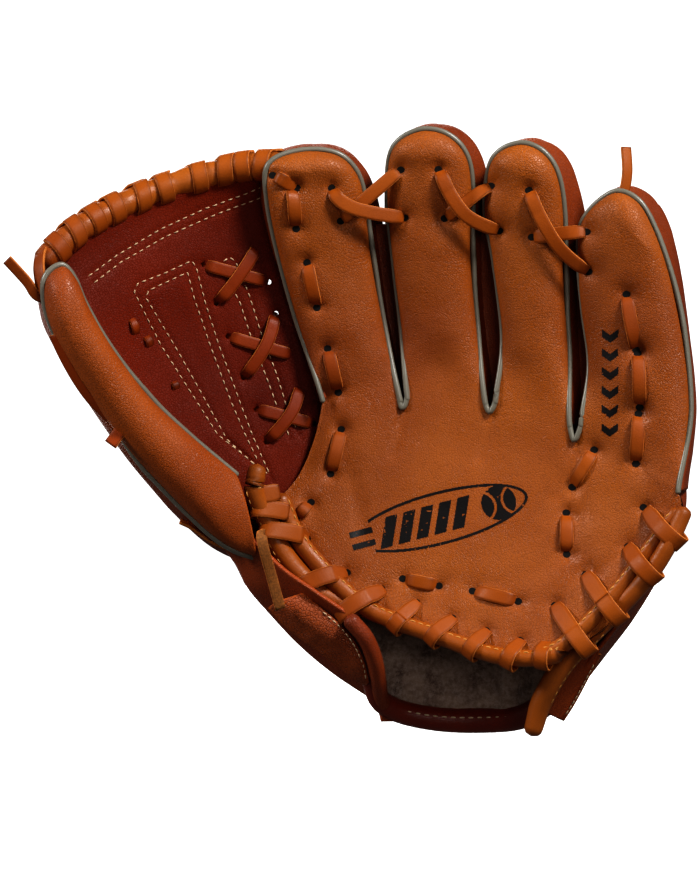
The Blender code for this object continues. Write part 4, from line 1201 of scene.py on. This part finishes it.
THUMB_WALL = [
    [(-62, 13, 114), (-48, 9, 102), (-34, 5, 88.5), (-16, 3, 76), (3, 5, 62), (11.5, 12, 45), (14.5, 27, 27)],
    [(-80, 22, 114), (-62, 30, 95), (-53, 32, 78.5), (-42, 35, 65.5), (-27, 38, 50), (-8, 40, 34), (13, 40, 20)],
    [(-60, 36, 136), (-46, 48, 116), (-36, 51, 92), (-26, 50, 72), (-14, 48, 52), (0, 45, 35), (18, 43, 16.5)],
    [(-8, 50, 186), (-6, 57.5, 160), (0, 50.5, 112), (2, 44.5, 76), (6, 41.5, 50), (12, 40.5, 33), (22, 43, 14)],
]
FLAP_LEAF = [
    [(-42, 14, 69), (-35, 14, 61), (-23.5, 15, 51.5), (-9, 18, 41), (3.5, 22, 31), (8, 24, 28.5)],
    [(-36, 8, 73), (-25, 7, 65), (-14, 8, 57), (-2, 11, 47.5), (5.5, 15, 37), (8.8, 21, 29.5)],
    [(-24, 9, 77), (-13, 7, 68), (-4, 8, 60), (3.0, 10, 51), (7.8, 14.5, 40), (9.5, 20, 30.5)],
]
FLAP_EDGE = [(-14, 6.6, 67.5), (-5, 7.6, 59.5), (1.9, 9.4, 50.5), (6.6, 14, 39.7), (8.2, 18.5, 32)]
LITTLE_WALL = [
    [(162, -12, 142), (166, -20, 124), (165, -24, 111), (155, -19, 90), (142, -14, 70), (128, -5, 50),
     (116, 6, 33), (110, 13, 22)],
    [(163, 4, 162), (170, 0, 136), (168, -2, 112), (158, 6, 87), (145, 11, 64), (132, 16, 46),
     (120, 21, 30), (111, 25, 20)],
    [(145, 17, 174), (152, 21, 148), (150, 24, 124), (145, 26, 100), (135, 28, 72), (123, 31, 48),
     (113, 33, 32), (105, 34, 18)],
    [(126, 17, 184), (121, 30, 167), (112, 36, 148), (110, 34.5, 112), (108, 33, 76), (103, 34, 46),
     (99, 35.5, 28), (94, 37, 13)],
]
WRIST_EDGE = [(10.5, 27, 31), (15.5, 37, 20.5), (27, 45, 13.8), (46, 47.5, 10.0), (68, 47, 9.4), (88, 41, 11.5),
              (101, 32, 19), (110, 21, 29), (117, 11, 41)]
FLEECE = [
    [(12, 36, 27), (30, 45, 16), (56, 47, 11.5), (86, 40, 13.5), (108, 24, 28)],
    [(8, 36, 46), (28, 42, 46), (56, 43.5, 46), (88, 37, 46), (114, 20, 48)],
    [(2, 40, 80), (24, 44, 80), (56, 44, 80), (90, 36, 80), (120, 18, 76)],
    [(2, 44, 130), (24, 46, 130), (56, 44, 130), (90, 34, 130), (116, 20, 126)],
]


def make_thumb_wall():
    """The thumb side's wall of the wrist opening, with the grained flap over its lower end."""
    wall = loft(THUMB_WALL, round(130 / STEP), round(80 / STEP))
    sheet("thumb_wall", [crinkle(wall, 1.0, 24, 31)], BACK_LEATHER, "wall", "palm+thumb", "back_leather",
          ("thumb_wrist_wall",), (-1, 0, 0))
    leaf = loft(FLAP_LEAF, round(64 / STEP), round(24 / STEP))
    sheet("grained_flap", [crinkle(leaf, 0.5, 11, 35)], 1.8, "flap", "palm+thumb", "back_leather")
    rows = [stitches_mesh(smooth_path(FLAP_EDGE, 40), (0.3, -1, 0.3), 3.2, 2.2, 0.36, 0.0)]
    stitch_piece("flap_stitching", rows, "palm+thumb")


def make_little_wall():
    """The little finger side's wall, with a stitched strap at its lower end."""
    wall = loft(LITTLE_WALL, round(130 / STEP), round(74 / STEP))
    sheet("little_finger_wall", [crinkle(wall, 0.9, 26, 41)], BACK_LEATHER, "back", "palm+little",
          "back_leather", ("little_wrist_wall",), (1, 0, 0))
    strap = smooth_path([(104, 14, 14), (110, 10, 24), (117, 4, 38), (122, -1, 48)], 50)
    points, faces, picks = ribbon_mesh(strap, (0.35, -1, 0.1), 13, 2.2)
    piece("flap_strap", points, faces, ("wall", "lace_edge"), "palm+little", "binding", picks=picks)
    beside = strap + np.array([4.6, 0.0, -1.6]) + np.array([0.3, -1, 0.1]) * 1.1
    rows = [stitches_mesh(beside[3:-8], (0.35, -1, 0.1), 3.2, 2.2, 0.36, 0.0)]
    stitch_piece("flap_strap_stitching", rows, "palm+little")


def make_wrist_binding():
    line = smooth_path(WRIST_EDGE, 120)
    share = np.linspace(0, 1, 120)
    size = np.interp(share, [0, 0.15, 0.5, 0.85, 1], [4.4, 6.0, 6.6, 6.2, 4.6])
    mesh = tube_mesh(line, size, 22, 0.008, 12)
    piece("wrist_binding", *mesh, "band", "palm", "binding", ("wrist_edge_binding",))
    out = unit(np.stack([0.12 * (line[:, 0] - 58) / 40, -np.ones(120), 0.30 * np.ones(120)], axis=1))
    rows = [stitches_mesh((line + out * size[:, None])[8:-8], out[8:-8], 4.6, 2.9, 0.42, 0.1)]
    stitch_piece("binding_stitching", rows, "palm")


def make_fleece():
    """The lining seen through the wrist opening, tufted on three scales."""
    tufts = loft(FLEECE, round(110 / STEP), round(110 / STEP))
    a, b = tufts[..., 0] + 0.5 * tufts[..., 1], tufts[..., 2]
    tufts[..., 1] += 1.5 * noise(a, b, 13, 51) + 1.0 * noise(a, b, 5, 52) + 0.5 * noise(a, b, 2.4, 53)
    sheet("fleece_lining", [tufts], 2.5, "fleece", "palm", "fleece", ("wrist_fleece_lining",))


BACK_SEAMS = [
    [(-11, 168), (10, 160), (27, 163), (50, 160), (71, 162), (92, 158), (118, 160)],
    [(18, 66), (40, 62), (60, 61), (82, 62), (106, 66)],
]


def make_back():
    flat = patch([(-14, 200), (-10, 150), (-6, 100), (16, 9)], [(122, 196), (119, 150), (117, 90), (96, 9)],
                 round(190 / STEP), round(128 / STEP))
    depth = 0.6 * noise(flat[..., 0], flat[..., 1], 37, 61) + 0.25 * noise(flat[..., 0], flat[..., 1], 13, 62)
    under = flat[..., 1] - 168
    depth = depth - ramp(under, 0.0, 3.4, 7.0) - 0.22 * np.maximum(under - 6, 0)
    for line in BACK_SEAMS:
        depth = depth - 1.3 * np.exp(-((away_from_line(flat[..., 0], flat[..., 1], line) / 1.4) ** 2))
    sheet("hand_back", [on_surface(hand_back_y, flat, depth)], BACK_LEATHER, "back", "palm", "back_leather",
          ("back_leather",), (0, 1, 0))
    rows = []
    for line in BACK_SEAMS:
        for off in (-2.6, 2.6):
            dense = evenly(line, 1.5)
            tangent = unit(np.gradient(dense, axis=0))
            beside = dense + off * np.stack([-tangent[:, 1], tangent[:, 0]], axis=1)
            path = on_surface(hand_back_y, beside, 1.1)
            out = back_of(hand_back_y, beside[:, 0], beside[:, 1])
            rows.append(stitches_mesh(path, out, 3.4, 2.3, 0.38, 0.2))
    stitch_piece("back_stitching", rows, "palm")


def strap_part(name, first, last, depth, width, thickness, look, body, node, slot):
    line = smooth_path([(first, 40), (last, 40)], 60)
    share = np.linspace(0, 1, 60)
    taper = width * (1 - 0.5 * np.clip((share - 0.9) / 0.1, 0, 1) ** 2)
    bend = depth + 0.35 * np.sin(share * 9) * (look == "roll")
    path = on_surface(hand_back_y, line, 1.6 + bend)
    points, faces, picks = ribbon_mesh(path, back_of(hand_back_y, line[:, 0], line[:, 1]), taper, thickness)
    edge = "tape" if look == "tape" else "lace_edge"
    piece(name, points, faces, (look, edge), body, slot, (node,), picks=picks)
    return path


def make_strap():
    """The strap over its hook and loop tapes, stitched down at one end."""
    strap_part("strap_base", 14, 31, 1.2, 27, 2.6, "roll", "palm", "strap_anchor", "binding")
    strap_part("loop_tape", 60, 99, 1.0, 22, 2.2, "tape", "palm", "strap_loop_patch", "patch")
    strap_part("hook_tape", 62, 98, 3.6, 22, 2.2, "tape", "wrist_strap", "strap_hook_patch", "patch")
    path = strap_part("strap_leather", 31.5, 101, 6.5, 28, 2.6, "roll", "wrist_strap", "wrist_strap", "binding")
    rows = []
    for side in (-11.8, 11.8):
        edge = path + side * UP
        rows.append(stitches_mesh(edge[2:-3] + np.array([0, 1.45, 0]), (0, 1, 0), 3.4, 2.3, 0.40, 0.1))
    stitch_piece("strap_stitching", rows, "wrist_strap")


def make_label():
    """The strap's blank label: a flat leather patch with rounded corners and a softened edge."""
    low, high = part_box("strap_label")
    centre = (np.array(low) + np.array(high)) / 2 / MM - SHIFT
    outline = []
    for corner_x, corner_z, start in ((9.5, 6.5, 0), (-9.5, 6.5, 90), (-9.5, -6.5, 180), (9.5, -6.5, 270)):
        for angle in np.radians(np.linspace(start, start + 90, 6)):
            outline.append((corner_x + 2.5 * math.cos(angle), 0, corner_z + 2.5 * math.sin(angle)))
    outline = np.array(outline)
    sides = len(outline)
    rings = [centre + outline * scale + (0, lift, 0)
             for scale, lift in ((0.99, -1.6), (1.0, -0.3), (1.0, 0.4), (0.975, 0.85), (0.93, 1.0))]
    faces = [face[::-1] for face in grid_faces(len(rings), sides, 0, True)]
    last = (len(rings) - 1) * sides
    faces += [list(range(sides)), [last + i for i in range(sides)][::-1]]
    piece("blank_label", np.vstack(rings), faces, "web", "wrist_strap", "label", ("strap_label",))
    path = centre + np.vstack([outline, outline[:1]]) * 0.84 + (0, 1.05, 0)
    stitch_piece("label_stitching", [stitches_mesh(path, (0, 1, 0), 2.6, 1.7, 0.3, 0.1)], "wrist_strap")


# ---------------------------------------------------------------- ink marks, plain shapes with no letters
def ink_patch(name, low, high, inside, body, lift=0.10):
    step = 0.32
    xs, zs = np.arange(low[0], high[0], step), np.arange(low[1], high[1], step)
    x, z = np.meshgrid(xs, zs)
    places, outs = SKINS["palm"].at(np.stack([x, z], axis=-1).reshape(-1, 2))
    points = places + outs * lift
    faces = grid_faces(len(zs), len(xs))
    middle = np.array([points[f[0]] + points[f[2]] for f in map(list, faces)]) / 2
    keep = inside(middle[:, 0], middle[:, 2])
    faces = [f for f, k in zip(faces, keep) if k]
    used = np.unique(np.array(faces))
    renumber = np.full(len(points), -1)
    renumber[used] = np.arange(len(used))
    piece(name, points[used], renumber[np.array(faces)].tolist(), "ink", body, "palm_leather")


def badge(x, z):
    """A tilted oval ring round a ball and slanting bars."""
    c, s = math.cos(math.radians(15)), math.sin(math.radians(15))
    u = (x - 46) * c + (z - 115) * s
    v = -(x - 46) * s + (z - 115) * c
    oval = np.hypot(u / 46, v / 13.5)
    inside = (1 - oval) * oval / np.maximum(np.hypot(u / 46**2, v / 13.5**2), 1e-6)
    ring = (inside > 0) & (inside < 1.4) & (u > -36)
    ball = np.hypot(u - 31, v)
    seam = np.abs(np.hypot(u - 21.5, v) - 7.6) < 0.7
    other = np.abs(np.hypot(u - 40.5, v) - 7.6) < 0.7
    disc = (ball < 8.8) & ~seam & ~other
    lean = u - 0.45 * v
    bars = (np.abs(v) < 7.6) & (np.mod(lean + 30, 9.5) < 6.2) & (lean > -30) & (lean < 17)
    wings = ((np.abs(v - 3.2) < 1.5) | (np.abs(v + 3.2) < 1.5)) & (u > -47) & (u < -35)
    worn = noise(x, z, 1.6, 71) + noise(x, z, 0.9, 72) > -1.25
    return (ring | disc | bars | wings) & worn


def chevrons(x, z):
    """A column of chevrons up the little finger's front."""
    u, v = x - 131.5, np.mod(z - 156, 9.5)
    mark = (np.abs(v - 2.6 - 0.75 * np.abs(u)) < 1.9) & (np.abs(u) < 3.9)
    worn = noise(x, z, 1.6, 73) > -0.85
    return mark & (z > 156) & (z < 211) & worn


def make_marks():
    ink_patch("palm_mark", (-4, 92), (98, 140), badge, "palm")
    ink_patch("finger_mark", (126, 154), (137, 213), chevrons, "little_finger")


# ---------------------------------------------------------------- floor, light and camera
def stage():
    """A pale floor, a white surround that only the camera sees, and four soft lights round the glove."""
    mesh = bpy.data.meshes.new("floor")
    corners = [(x, y, -0.0005) for x, y in ((-6, -6), (6, -6), (6, 6), (-6, 6))]
    mesh.from_pydata(corners, [], [(0, 1, 2, 3)])
    n = Nodes("floor")
    pale = n.finish((0.88, 0.88, 0.88, 1.0), 0.9, Emission_Color=(1, 1, 1, 1), Emission_Strength=0.7)
    mesh.materials.append(pale)
    floor = bpy.data.objects.new("floor", mesh)
    bpy.context.scene.collection.objects.link(floor)
    floor.visible_diffuse = False
    floor.visible_glossy = False
    for name, place, aim, size, power in (
            ("key", (1.0, -1.1, 1.5), (0, 0, 0.16), 0.45, 36),
            ("left", (-1.6, -0.5, 1.1), (0, 0, 0.18), 0.45, 18),
            ("front", (0.6, -2.2, 0.45), (0, 0, 0.14), 0.8, 6),
            ("behind", (-0.3, 2.2, 0.6), (0, 0, 0.16), 1.8, 26)):
        light = bpy.data.lights.new(name, "AREA")
        light.size = size
        light.energy = power
        lamp = bpy.data.objects.new(name, light)
        lamp.location = place
        lamp.rotation_euler = (Vector(aim) - Vector(place)).to_track_quat("-Z", "Y").to_euler()
        bpy.context.scene.collection.objects.link(lamp)
    world = bpy.context.scene.world or bpy.data.worlds.new("world")
    bpy.context.scene.world = world
    world.use_nodes = True
    tree = world.node_tree
    rays = tree.nodes.new("ShaderNodeLightPath")
    strength = tree.nodes.new("ShaderNodeMapRange")
    strength.inputs["To Min"].default_value = 0.10
    strength.inputs["To Max"].default_value = 1.0
    tree.links.new(rays.outputs["Is Camera Ray"], strength.inputs["Value"])
    tree.links.new(strength.outputs["Result"], tree.nodes["Background"].inputs["Strength"])
    tree.nodes["Background"].inputs["Color"].default_value = (1, 1, 1, 1)
    bpy.context.scene.view_settings.view_transform = "Standard"
    bpy.context.scene.view_settings.look = "High Contrast"
    camera = bpy.data.cameras.new("camera")
    camera.sensor_fit = "HORIZONTAL"
    camera.sensor_width = 36
    aim = (np.array([0, 0, 155]) + SHIFT * (1, 0, 1)) * MM
    distance = 2.2
    camera.lens = 0.983 * 36 * distance / 0.350
    eye = bpy.data.objects.new("camera", camera)
    eye.location = (aim[0], -distance - 0.012, aim[2])
    eye.rotation_euler = (math.pi / 2, 0, 0)
    bpy.context.scene.collection.objects.link(eye)
    bpy.context.scene.camera = eye


make_palm_front()
make_finger_backs()
make_gussets()
make_piping()
make_thumb()
make_web()
make_web_details()
make_web_top()
ROLLS = make_heel_rolls()
make_heel_lacing()
make_heel_stitching(*ROLLS)
make_front_laces()
make_lace_ends()
make_thumb_wall()
make_little_wall()
make_wrist_binding()
make_fleece()
make_back()
make_strap()
make_label()
make_marks()
stage()
